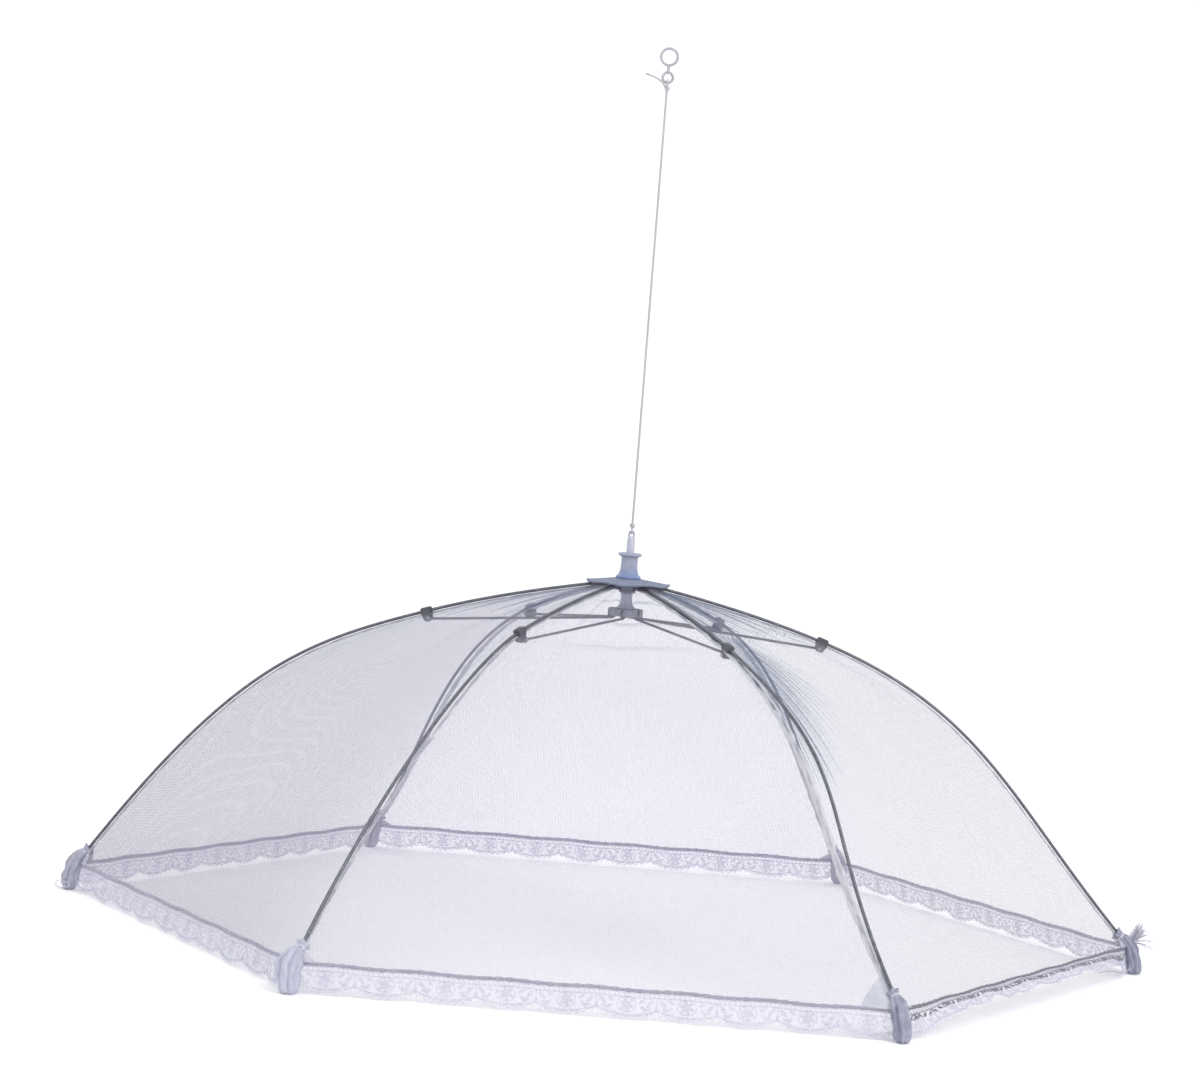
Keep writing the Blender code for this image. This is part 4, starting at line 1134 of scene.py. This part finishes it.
def make_canopy(rib):
    """Half a gore on each side of a rib, sewn at the seam below it."""
    mesh = bpy.data.meshes.new(f"canopy_{rib + 1}")
    builder = bmesh.new()
    lengths = builder.loops.layers.uv.new("flat")
    dense = builder.verts.layers.float.new("gather")
    crease = builder.verts.layers.float.new("crease")
    drawn = builder.verts.layers.float.new("line")
    weight = builder.verts.layers.float.new("weight")
    grey = builder.verts.layers.float.new("grey")
    for side in net_columns(rib):
        widths, runs = GORE_FLATS[side[0][0]]
        grid = []
        for row in range(NET_ROWS + 1):
            line = []
            for gore, u in side:
                vertex = builder.verts.new(gore_point(gore, row / NET_ROWS, u))
                turn, fan = fold_fan(gore, u, row)
                vertex[crease] = turn + gore
                vertex[drawn] = line_at(gore, u, row / NET_ROWS)
                vertex[dense] = min(gather_at(gore, u, row / NET_ROWS) + fan, 1.0)
                vertex[weight] = across_gores(GORE_WEIGHTS_AND_SHADE, gore, u)
                vertex[grey] = across_gores(GORE_GREYS, gore, u)
                line.append((vertex, ((u - 0.5) * widths[row], runs[row])))
            grid.append(line)
        for row in range(NET_ROWS):
            for column in range(HALF_COLUMNS):
                corners = (grid[row][column], grid[row + 1][column], grid[row + 1][column + 1], grid[row][column + 1])
                face = builder.faces.new([vertex for vertex, _ in corners])
                face.smooth = True
                for loop, (_, place) in zip(face.loops, corners):
                    loop[lengths].uv = place
    bmesh.ops.remove_doubles(builder, verts=builder.verts, dist=0.00001)
    builder.to_mesh(mesh)
    builder.free()
    piece = link_piece(f"canopy_{rib + 1}", mesh, "netting")
    rides_rib(piece, rib)
    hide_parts(f"net_panel_{rib + 1}", f"net_panel_{(rib - 1) % RIB_COUNT + 1}")
    sizes = [GORE_FLATS[side[0][0]] for side in net_columns(rib)]
    flat = (sum(widths[-1] for widths, _ in sizes) / 2, max(runs[-1] for _, runs in sizes))
    area = sum(
        (a + b) / 4 * (d - c)
        for widths, runs in sizes
        for a, b, c, d in zip(widths, widths[1:], runs, runs[1:])
    )
    return piece, flat, area


def make_seam_band(rib):
    """Bound seam allowance that hangs inside the rib wire."""
    dice = random.Random(40 + rib)
    phase = dice.uniform(0, 6)
    rows, end = 120, before_end(rib, POCKET_GRIP * 0.8)
    points, faces, flat = [], [], []
    run, last = 0.0, None
    across = (-1.0, -0.5, 0.0, 0.5, 1.0)
    for row in range(rows + 1):
        t = SEAM_START_T + (end - SEAM_START_T) * row / rows
        spot = seam_point(rib, t) + rib_inward(rib, t) * 0.0004
        run += (spot - last).length if last else 0.0
        last = spot
        half = BAND_HALVES[rib] * (1 + 0.14 * math.sin(run * 260 + phase) + 0.09 * math.sin(run * 610))
        for share in across:
            curl = 0.0005 * share * share + 0.00025 * math.sin(run * 330 + 2 * share + phase)
            place = spot + rib_inward(rib, t) * curl
            points.append(arm_point(azimuth(rib), place.x, half * share, place.y))
            flat.append((half * share, run))
    for row in range(rows):
        for column in range(len(across) - 1):
            a = row * len(across) + column
            faces.append((a, a + len(across), a + len(across) + 1, a + 1))
    piece = from_points(f"seam_band_{rib + 1}", points, faces, "band", flat)
    thicken(piece, 0.0004)
    rides_rib(piece, rib, gathers=False)
    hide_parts(f"seam_tape_{rib + 1}")
    return piece


# ---- hem, lace and corners ----


def hem_frame(gore):
    """Where one side's hem starts, its direction, the way outward and its length."""
    start, end = gore_point(gore, 1.0, 0.0), gore_point(gore, 1.0, 1.0)
    return start, (end - start).normalized(), arm_point(azimuth(gore, 0.5), 1.0, 0.0, 0.0), (end - start).length


HEMS = [hem_frame(gore) for gore in range(RIB_COUNT)]
SIDE_LENGTH = HEMS[0][3]
PITCH = SIDE_LENGTH / SCALLOPS
# Depth of the lace between two scallops, how much deeper a scallop is, and the lace's depth at most and on average
SCALLOP_ROOT = 0.0098
SCALLOP_RISE = 0.0031
LACE_MEAN = 0.0118


def lace_fall(gore, x):
    """Which way the lace falls and which way it faces at x along a side's hem."""
    along, out = HEMS[gore][1:3]
    inside = min(max(min(x, SIDE_LENGTH - x) / FLARE_EASE, 0.0), 1.0)
    more = (LACE_FLARES[gore] - CORNER_FLARE) * inside * inside * (3 - 2 * inside)
    flare = math.radians(CORNER_FLARE + more)
    down = out * math.sin(flare) - Vector((0, 0, math.cos(flare)))
    return down, along.cross(down).normalized() * -1.0


def lace_place(gore, x, depth, lift=0.0):
    """World place at x along a side's hem and depth below it."""
    start, along, _, long = HEMS[gore]
    down, outside = lace_fall(gore, x)
    along = along * (long / SIDE_LENGTH)
    share = depth / LACE_DEPTH
    run = 2 * math.pi * x
    wave = math.sin(run / (PITCH * 2.0) + gore) + 0.5 * math.sin(run / (PITCH * 0.83) + 2 * gore)
    sway = Vector((0, 0, 0.0003 * math.sin(run / 0.047 + 1.3 * gore)))
    return start + along * x + down * (LACE_TOP + depth) + outside * (lift + 0.0011 * share * wave) + sway


# Half lengths and half widths round a leaf
LEAF = ((-1.0, 0.0), (-0.6, 0.75), (-0.1, 1.0), (0.45, 0.7), (1.0, 0.0), (0.45, -0.7), (-0.1, -1.0), (-0.6, -0.75))


def tilted(centre, outline, tilt):
    """A flat outline turned about its middle and set at a place."""
    return [
        (centre[0] + x * math.cos(tilt) - d * math.sin(tilt), centre[1] + x * math.sin(tilt) + d * math.cos(tilt))
        for x, d in outline
    ]


def ellipse(centre, wide, tall, tilt, corners=10):
    angles = [2 * math.pi * n / corners for n in range(corners)]
    return tilted(centre, [(wide * math.cos(angle), tall * math.sin(angle)) for angle in angles], tilt)


def leaf(centre, long, wide, tilt):
    return tilted(centre, [(share * long, width * wide) for share, width in LEAF], tilt)


def scallop_edge(x):
    """Depth of the lace's lower edge at a place in one scallop."""
    return SCALLOP_ROOT + SCALLOP_RISE * abs(math.sin(math.pi * x / PITCH)) ** 0.8


class Lacework(Parts):
    """Raised stitched shapes on one side's lace."""

    def __init__(self, thickness=0.00042):
        super().__init__()
        self.half = thickness / 2

    def both_faces(self, gore, places):
        top = [lace_place(gore, x, d, self.half) for x, d in places]
        bottom = [lace_place(gore, x, d, -self.half) for x, d in places]
        return top + bottom, [(x, d) for x, d in places] * 2

    def plate(self, gore, outline):
        count = len(outline)
        points, flat = self.both_faces(gore, outline)
        sides = [(n, n + count, (n + 1) % count + count, (n + 1) % count) for n in range(count)]
        self.add(points, [tuple(range(count)), tuple(range(2 * count - 1, count - 1, -1))] + sides, flat)

    def strip(self, gore, route, width, closed=False):
        count = len(route)
        edges = []
        for n, (x, d) in enumerate(route):
            before = route[n - 1] if n or closed else route[n]
            after = route[(n + 1) % count] if n < count - 1 or closed else route[n]
            run = Vector((after[0] - before[0], after[1] - before[1])).normalized() * width / 2
            edges.append(((x - run.y, d + run.x), (x + run.y, d - run.x)))
        outline = [one for one, _ in edges] + [two for _, two in edges]
        points, flat = self.both_faces(gore, outline)
        base = 2 * count
        faces = []
        for n in range(count if closed else count - 1):
            m = (n + 1) % count
            one, two, three, four = n, m, m + count, n + count
            faces.append((one, two, three, four))
            faces.append((four + base, three + base, two + base, one + base))
            faces.append((two, one, one + base, two + base))
            faces.append((four, three, three + base, four + base))
        if not closed:
            last = count - 1
            faces.append((0, count, count + base, base))
            faces.append((last + count, last, last + base, last + count + base))
        self.add(points, faces, flat)


def add_scallop(work, gore, number):
    """One scallop: ladder top, flower in a ring, leaves, buds and a looped edge."""
    start = number * PITCH

    def at(x, d):
        return start + x, d

    edge = [at(PITCH * n / 14, scallop_edge(PITCH * n / 14)) for n in range(15)]
    work.strip(gore, edge, 0.0011)
    for n in range(8):
        x = PITCH * (n + 0.5) / 8
        depth = scallop_edge(x)
        reach = 0.0017
        lean = (scallop_edge(x + 0.001) - scallop_edge(x - 0.001)) / 0.002
        loop = []
        for step in range(7):
            angle = math.pi * step / 6
            across = -math.cos(angle) * 0.0016
            loop.append(at(x + across, depth + lean * across + math.sin(angle) * reach))
        work.strip(gore, loop, 0.00075)
        if n % 2:
            work.plate(gore, ellipse(at(x, depth + 0.0005), 0.0006, 0.0006, 0, 6))
    middle = (PITCH / 2, 0.0072)
    for n in range(6):
        angle = math.pi / 3 * n + 0.3
        petal = at(middle[0] + 0.0024 * math.cos(angle), middle[1] + 0.0024 * math.sin(angle))
        work.plate(gore, ellipse(petal, 0.00165, 0.00098, angle, 8))
    work.plate(gore, ellipse(at(*middle), 0.0008, 0.0008, 0, 6))
    ring = [at(middle[0] + 0.0051 * math.cos(2 * math.pi * n / 18), middle[1] + 0.0041 * math.sin(2 * math.pi * n / 18))
            for n in range(18)]
    work.strip(gore, ring, 0.0006, closed=True)
    for turn in (-1, 1):
        work.plate(gore, leaf(at(turn * 0.0034, 0.0062), 0.0029, 0.0011, turn * 0.75))
        work.plate(gore, leaf(at(turn * 0.0052, 0.0095), 0.0024, 0.0009, turn * 0.35))
        side = PITCH / 2 + turn * 0.0083
        work.plate(gore, leaf(at(side, 0.0052), 0.0020, 0.0009, -turn * 0.5))
        work.plate(gore, leaf(at(side + turn * 0.0006, 0.0086), 0.0017, 0.0008, turn * 0.6))
    work.plate(gore, leaf(at(0, 0.0086), 0.0017, 0.0009, math.pi / 2))
    work.strip(gore, [at(0, 0.0031), at(0.0002, 0.0048), at(0, 0.0072)], 0.0006)
    for depth, width in ((0.0007, 0.0010), (0.0033, 0.0007)):
        work.strip(gore, [at(PITCH * n / 8, depth) for n in range(9)], width)
    for n in range(12):
        x = PITCH * (n + 0.5) / 12
        work.strip(gore, [at(x - 0.0004, 0.001), at(x + 0.0004, 0.0032)], 0.0005)


def side_halves(rib):
    """The two half sides that hang beside a rib, as (gore, first x, last x)."""
    before = (rib - 1) % RIB_COUNT
    return (before, SIDE_LENGTH / 2, SIDE_LENGTH), (rib, 0.0, SIDE_LENGTH / 2)


# Depths of the lace between which the front right side's flared-up stitching gets painted shade
SHADED_ROWS = (0.003, 0.0064)


def paint_shade(piece, shares):
    """How much painted shade darkens each point of a piece."""
    piece.data.attributes.new("deep", "FLOAT", "POINT").data.foreach_set("value", shares)


def make_lace(rib):
    """Lace border beside one rib, its net ground and its raised flowers."""
    ground = Parts()
    work = Lacework()
    deep = []
    columns, rows = 80, 5
    for gore, low, high in side_halves(rib):
        points, faces, flat = [], [], []
        for column in range(columns + 1):
            x = low + (high - low) * column / columns
            for row in range(rows + 1):
                depth = scallop_edge(x) * row / rows
                points.append(lace_place(gore, x, depth))
                flat.append((x, depth))
        for column in range(columns):
            for row in range(rows):
                a = column * (rows + 1) + row
                faces.append((a, a + 1, a + rows + 2, a + rows + 1))
        ground.add(points, faces, flat)
        first = SCALLOPS // 2 if low else 0
        before = len(work.flat)
        for number in range(first, first + SCALLOPS // 2):
            add_scallop(work, gore, number)
        # painted shade on a band of the front right side's flared-up lace
        dark = [SHADED_ROWS[0] < depth < SHADED_ROWS[1] for _, depth in work.flat[before:]]
        deep += [float(gore == FRONT_RIGHT and marked) for marked in dark]
    sheet = ground.piece(f"lace_net_{rib + 1}", "lace_ground")
    flowers = work.piece(f"lace_flowers_{rib + 1}", "lace_thread", smooth=False)
    paint_shade(flowers, deep)
    for piece in (sheet, flowers):
        rides_rib(piece, rib)
    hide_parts(f"lace_edge_{rib + 1}", f"lace_edge_{(rib - 1) % RIB_COUNT + 1}")
    return sheet, flowers


# The hem's cross section, as (lift, depth), and its seam's height above the net's edge
HEM_SECTION = (
    (0.0004, -0.00095), (0.00055, -0.0004), (0.00055, 0.0004), (0.00035, 0.00095),
    (-0.00035, 0.00095), (-0.00055, 0.0004), (-0.00055, -0.0004), (-0.0004, -0.00095),
)
HEM_RISE = 0.0004
STITCH_PITCH = 0.0031


def make_hem(rib):
    """Turned hem over the net's edge and the lace's top, with its stitches."""
    hem, stitches, deep = Parts(), Parts(), []
    for gore, low, high in side_halves(rib):
        steps = 90
        points, faces, flat = [], [], []
        for step in range(steps + 1):
            x = low + (high - low) * step / steps
            swell = 1 + 0.16 * math.sin(x * 900 + gore) + 0.1 * math.sin(x * 2300)
            for lift, depth in HEM_SECTION:
                points.append(lace_place(gore, x, depth * swell - HEM_RISE, lift * swell))
                flat.append((x, depth * 2))
        count = len(HEM_SECTION)
        for step in range(steps):
            for n in range(count):
                a, b = step * count + n, step * count + (n + 1) % count
                faces.append((a, b, b + count, a + count))
        faces.append(tuple(range(count - 1, -1, -1)))
        faces.append(tuple(range(steps * count, (steps + 1) * count)))
        hem.add(points, faces, flat)
        # painted shade over the whole front right hem
        deep += [float(gore == FRONT_RIGHT)] * len(points)
        number = int((high - low) / STITCH_PITCH)
        for n in range(number):
            x = low + (high - low) * (n + 0.5) / number
            for lift in (0.00078, -0.00078):
                route = ((-0.001, 0.75), (0.0, 1.15), (0.001, 0.75))
                ends = [lace_place(gore, x + ahead, -HEM_RISE, lift * share) for ahead, share in route]
                stitches.add(*tube(ends, 0.00018, 4))
    tape = hem.piece(f"hem_{rib + 1}", "hem")
    paint_shade(tape, deep)
    sewing = stitches.piece(f"hem_stitches_{rib + 1}", "stitch")
    for piece in (tape, sewing):
        rides_rib(piece, rib)
    return tape, sewing


TIE_RADIUS = 0.00262
TIE_TURNS = 3
# Down each bag, its place from the waist to the foot and its width against the widest
POCKET_LEVELS = (
    (-0.12, 0.86), (-0.06, 0.72), (0.0, 0.62), (0.05, 0.62), (0.1, 0.68), (0.18, 0.82), (0.28, 0.94), (0.4, 1.0),
    (0.52, 1.02), (0.64, 1.05), (0.75, 1.04), (0.84, 1.0), (0.91, 1.02), (0.96, 0.96), (1.0, 0.82),
)


def make_pocket(rib):
    """Bunched bag of cloth on the rib's end, tied where the wire goes in."""
    dice = random.Random(70 + rib)
    top, foot = rib_at(rib, before_end(rib, POCKET_GRIP)), Vector((RIM_RADIUS + POCKET_REACH, 0.0))
    bend = Vector((foot.x, HEM_HEIGHT))
    levels = POCKET_LEVELS
    sides = 44
    shift, second = dice.uniform(0, 6), dice.uniform(0, 6)
    points, faces, flat = [], [], []
    for t, radius_share in levels:
        bent = max(t, 0.0)
        place = top * (1 - bent) ** 2 + bend * 2 * bent * (1 - bent) + foot * bent * bent
        ahead = ((bend - top) * (1 - bent) + (foot - bend) * bent).normalized()
        if t < 0:
            place += ahead * t * 0.021
        outward = Vector((-ahead.y, ahead.x))
        depth = 0.2 if t < 0 else 0.09 + 0.14 * t * (1.15 - t) * 3
        for side in range(sides):
            angle = 2 * math.pi * side / sides
            fold = 1 + depth * math.cos(6 * angle + shift + t) + depth * 0.6 * math.cos(11 * angle + second - 2 * t)
            fold += 0.11 * min(bent / 0.3, 1.0) * math.sin(3 * angle + 13 * t + second)
            fold += 0.08 * min(bent / 0.3, 1.0) * math.sin(8 * angle - 21 * t + shift)
            radius = POCKET_RADIUS * radius_share * fold * (1 + (POCKET_SWELLS[rib] - 1) * math.sin(math.pi * bent))
            spot = place + outward * radius * math.cos(angle)
            aside = radius * math.sin(angle) + POCKET_LEANS[rib] * math.sin(math.pi * bent)
            points.append(arm_point(azimuth(rib), spot.x, aside, max(spot.y, 0.00005)))
            flat.append((angle * POCKET_RADIUS, t * 0.02))
    for level in range(len(levels) - 1):
        for side in range(sides):
            a, b = level * sides + side, level * sides + (side + 1) % sides
            faces.append((a, b, b + sides, a + sides))
    faces.append(tuple(range(sides - 1, -1, -1)))
    faces.append(tuple(range((len(levels) - 1) * sides, len(levels) * sides)))
    bag = from_points(f"pocket_bag_{rib + 1}", points, faces, POCKET_FINISHES[rib], flat)
    tie = Parts()
    waist = top * 0.9 + bend * 0.1
    ahead = (bend - top).normalized()
    outward = Vector((-ahead.y, ahead.x))
    route = []
    for step in range(TIE_TURNS * 24 + 1):
        angle = 2 * math.pi * step / 24
        spot = waist + ahead * (step / (TIE_TURNS * 24) - 0.5) * 0.0013 + outward * TIE_RADIUS * math.cos(angle)
        route.append(arm_point(azimuth(rib), spot.x, TIE_RADIUS * math.sin(angle), spot.y))
    tie.add(*tube(route, 0.0003, 6))
    knot_end = route[-1]
    for lean in (-1, 1):
        tip = knot_end + Vector((0.001 * lean, -0.0006 * lean, -0.005 + 0.001 * lean))
        tie.add(*tube([knot_end, (knot_end + tip) / 2 + Vector((0.0008, 0.0004 * lean, 0)), tip], 0.00022, 5))
    binding = tie.piece(f"pocket_tie_{rib + 1}", "frayed")
    for piece in (bag, binding):
        rides_rib(piece, rib, gathers=False)
    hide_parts(f"corner_pocket_{rib + 1}")
    return bag, binding


def make_gusset(rib):
    """Doubled net gathered into a small wedge on each side of the pocket."""
    dice = random.Random(90 + rib)
    parts = Parts()
    rows, columns = 10, 12
    for gore, turn in (((rib - 1) % RIB_COUNT, -1), (rib, 1)):
        wide_fold = rib == FRONT_RIGHT and turn < 0
        long = 0.062 if wide_fold else dice.uniform(0.026, 0.04)
        tall = 0.05 if wide_fold else dice.uniform(0.02, 0.03)
        points, faces, flat = [], [], []
        for row in range(rows + 1):
            rise = row / rows
            for column in range(columns + 1):
                out = column / columns * (1 - rise) ** 0.8
                u = 0.004 + long * out
                v = 1 - tall * rise
                pucker = 0.0007 + 0.0006 * math.sin(9 * out + 5 * rise + gore) * math.sin(math.pi * min(out + rise, 1))
                place = gore_point(gore, v, u if turn > 0 else 1 - u)
                outside = lace_fall(gore, 0.0)[1]
                points.append(place + outside * (pucker + 0.0003))
                flat.append((u * SIDE_LENGTH, v * 0.4))
        for row in range(rows):
            for column in range(columns):
                a = row * (columns + 1) + column
                face = (a, a + 1, a + columns + 2, a + columns + 1)
                faces.append(face if turn > 0 else face[::-1])
        parts.add(points, faces, flat)
    piece = parts.piece(f"corner_gusset_{rib + 1}", "gusset")
    rides_rib(piece, rib)
    return piece


def make_frayed_ends():
    """Lace ends: a frayed tuft on the right corner, loops on the left one."""
    dice = random.Random(3)
    tuft = Parts()
    root = arm_point(azimuth(0), RIM_RADIUS + 0.002, 0.0, HEM_HEIGHT + 0.002)
    for _ in range(26):
        swing, rise = dice.uniform(-1.4, 1.4), dice.uniform(-0.3, 1.9)
        reach = dice.uniform(0.008, 0.0165)
        lean = Vector((math.cos(swing) * 0.8 + 0.1, math.sin(swing), rise)).normalized()
        tip = root + lean * reach
        bow = Vector((dice.uniform(-1, 1), dice.uniform(-1, 1), dice.uniform(0, 1))) * 0.002
        route = smooth_route([root, (root + tip) / 2 + bow, tip], 4)
        tuft.add(*tube(route, lambda share: 0.00038 * (1 - 0.5 * share), 5))
        for n in range(5):
            spot = route[2 + n]
            for lean_side in (-1, 1):
                hair = lean.cross(Vector((0.3, 0.2, 1))).normalized() * lean_side + lean * 0.5
                tuft.add(*tube([spot, spot + hair * dice.uniform(0.0012, 0.0028)], 0.00018, 4))
    loose = [arm_point(azimuth(0), RIM_RADIUS + 0.003 - out, side, height) for out, side, height in (
        (0.0, -0.003, 0.004), (0.006, -0.009, 0.0012), (0.013, -0.011, 0.002), (0.021, -0.012, 0.0009))]
    tuft.add(*tube(smooth_route(loose, 8), 0.00028, 6))
    piece = tuft.piece("frayed_tuft", "frayed")
    loops = Parts()
    low = arm_point(azimuth(3), RIM_RADIUS + 0.0045, 0.0, 0.0035)
    for size, shift in ((0.0032, 0.0), (0.0022, 0.0035)):
        route = []
        for n in range(24):
            angle = 2 * math.pi * n / 24
            route.append(low + Vector((-0.0045 + shift + size * math.cos(angle), -0.0045 - shift * 0.3,
                                       size * 0.75 * math.sin(angle) - 0.0004)))
        loops.add(*tube(route, 0.00028, 6, closed=True))
    ends = loops.piece("lace_loops", "frayed")
    rides_rib(piece, 0, gathers=False)
    rides_rib(ends, 3, gathers=False)
    return {0: [piece], 3: [ends]}


# ---- clips and strut eyes ----

STRUT_EYE_RADIUS = 0.00175
STRUT_WIRE_RADIUS = 0.0008


def make_clip(rib):
    """Moulded clip: a saddle over the rib wire and a rounded lug for the rivet."""
    ahead, inward = rib_along(rib, CLIP_T), rib_inward(rib, CLIP_T)
    middle = rib_at(rib, CLIP_T)
    start_fresh()
    bpy.ops.mesh.primitive_cube_add(size=1, location=(0, 0, 0))
    bpy.ops.object.mode_set(mode="EDIT")
    bpy.ops.mesh.select_all(action="SELECT")
    bpy.ops.transform.resize(value=(0.0072, 0.0045, 0.0038), center_override=(0, 0, 0))
    pick(lambda face: face.normal.z < -0.9)
    bpy.ops.mesh.extrude_region_move(TRANSFORM_OT_translate={"value": (0, 0, -0.0026)})
    bpy.ops.transform.resize(value=(0.8, 1, 1), center_override=(0, 0, -0.0045))
    bpy.ops.mesh.extrude_region_move(TRANSFORM_OT_translate={"value": (0, 0, -0.0017)})
    bpy.ops.transform.resize(value=(0.62, 1, 1), center_override=(0, 0, -0.0062))
    pick(lambda face: face.normal.z > 0.9)
    bpy.ops.mesh.inset(thickness=0.0007)
    bpy.ops.mesh.extrude_region_move(TRANSFORM_OT_translate={"value": (0, 0, 0.0005)})
    pick(lambda face: abs(face.normal.y) > 0.9 and abs(face.calc_center_median().z) < 0.001)
    bpy.ops.mesh.inset(thickness=0.0006)
    bpy.ops.mesh.extrude_region_move(TRANSFORM_OT_translate={"value": (0, 0, 0)})
    bpy.ops.transform.resize(value=(1, 0.86, 1), center_override=(0, 0, 0))
    bpy.ops.object.mode_set(mode="OBJECT")
    piece = bpy.context.object
    angle = azimuth(rib)
    x_axis = arm_point(angle, ahead.x, 0, ahead.y)
    z_axis = arm_point(angle, -inward.x, 0, -inward.y)
    y_axis = z_axis.cross(x_axis)
    turn = Matrix((x_axis, y_axis, z_axis)).transposed()
    piece.matrix_world = Matrix.Translation(arm_point(angle, middle.x, 0, middle.y)) @ turn.to_4x4()
    piece = settle(f"rib_clip_{rib + 1}", "clip", bevel=0.0005, segments=3, angle=28.0)
    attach(piece, f"rib_{rib + 1}")
    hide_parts(f"joint_clip_{rib + 1}")


def make_rib_wire(rib):
    """Spring wire with an eye round the crown's ring, bent down into its pocket."""
    top = math.pi / 2 - RIB_TOP_SLOPE
    eye = [top + math.radians(turn) for turn in range(330, 0, -15)]
    route = [PIVOT + Vector((math.cos(turn), math.sin(turn))) * RIB_LOOP_RADIUS for turn in eye]
    route += [rib_at(rib, n / 100) for n in range(101)]
    curve = bpy.data.curves.new(f"rib_wire_{rib + 1}", "CURVE")
    curve.dimensions = "3D"
    curve.bevel_depth = RIB_WIRE_RADIUS
    curve.bevel_resolution = 3
    curve.use_fill_caps = True
    line = curve.splines.new("POLY")
    line.points.add(len(route) - 1)
    for point, place in zip(line.points, route):
        point.co = (*arm_point(azimuth(rib), place.x, 0, place.y), 1.0)
    piece = bpy.data.objects.new(curve.name, curve)
    bpy.context.scene.collection.objects.link(piece)
    start_fresh()
    bpy.context.view_layer.objects.active = piece
    piece.select_set(True)
    bpy.ops.object.convert(target="MESH")
    piece = settle(f"rib_wire_{rib + 1}", "rib")
    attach(piece, f"rib_{rib + 1}")
    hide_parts(f"rib_{rib + 1}")


def make_strut_eye(rib):
    """Eye of the strut's inner end, bent round the runner's ring wire."""
    out = math.sqrt(RUNNER_RING_RADIUS ** 2 - STRUT_SIDE ** 2)
    clip = rib_at(rib, CLIP_T) + rib_inward(rib, CLIP_T) * CLIP_DROP
    hook = Vector((out, RUNNER_RING_HEIGHT))
    inward = (hook - clip).normalized()
    under = Vector((-inward.y, inward.x))
    if under.y > 0:
        under = -under
    route = []
    for n in range(28):
        angle = 2 * math.pi * n / 28
        spot = hook + (inward * math.cos(angle) + under * math.sin(angle)) * STRUT_EYE_RADIUS
        route.append(arm_point(azimuth(rib), spot.x, STRUT_SIDE, spot.y))
    piece = Parts().add(*tube(route, STRUT_WIRE_RADIUS, 10, closed=True)).piece(f"strut_eye_{rib + 1}", "strut")
    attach(piece, f"strut_{rib + 1}")


def dress_frame():
    """Finishes of the frame's own parts that stay in sight."""
    wear("rib_holder", "holder")
    wear("crown_ring_wire", "ring_wire")
    wear("runner_ring_wire", "ring_wire")
    wear("runner", "runner")
    for number in range(1, RIB_COUNT + 1):
        wear(f"strut_{number}", "strut")
        wear(f"clip_pin_{number}", "rivet")


def make_floor():
    """Pale floor that curves up behind into a backdrop."""
    start_fresh()
    half = FLOOR_SIZE / 2
    bpy.ops.mesh.primitive_plane_add(size=FLOOR_SIZE, location=(0, 0, FLOOR_HEIGHT))
    bpy.ops.object.transform_apply(location=True, rotation=False, scale=False)
    bpy.ops.object.mode_set(mode="EDIT")
    pick_edges(lambda first, second: min(first.y, second.y) > half - 0.01)
    bpy.ops.mesh.extrude_region_move(TRANSFORM_OT_translate={"value": (0, 0, FLOOR_SIZE / 2)})
    pick_edges(lambda first, second: min(first.y, second.y) > half - 0.01 and max(first.z, second.z) < 0.01)
    bpy.ops.mesh.bevel(offset=COVE_RADIUS, segments=32, affect="EDGES")
    bpy.ops.object.mode_set(mode="OBJECT")
    floor = bpy.context.object
    floor.data.shade_smooth()
    floor.name = "floor"
    floor.data.materials.append(FINISHES["floor"])


def main():
    mix_finishes()
    FINISHES["floor"] = pale_floor()
    place_camera()
    light_studio()
    make_floor()
    make_cord()
    make_crown_collar()
    make_spindle()
    make_patch()
    dress_frame()
    ends = make_frayed_ends()
    for rib in range(RIB_COUNT):
        canopy, flat, area = make_canopy(rib)
        band = make_seam_band(rib)
        gusset = make_gusset(rib)
        tape, sewing = make_hem(rib)
        lace, flowers = make_lace(rib)
        bag, binding = make_pocket(rib)
        make_rib_wire(rib)
        make_clip(rib)
        make_strut_eye(rib)
        sewn = [band, gusset, tape, sewing, bag, binding] + ends.get(rib, [])
        SIDE_LENGTH * LACE_MEAN


main()
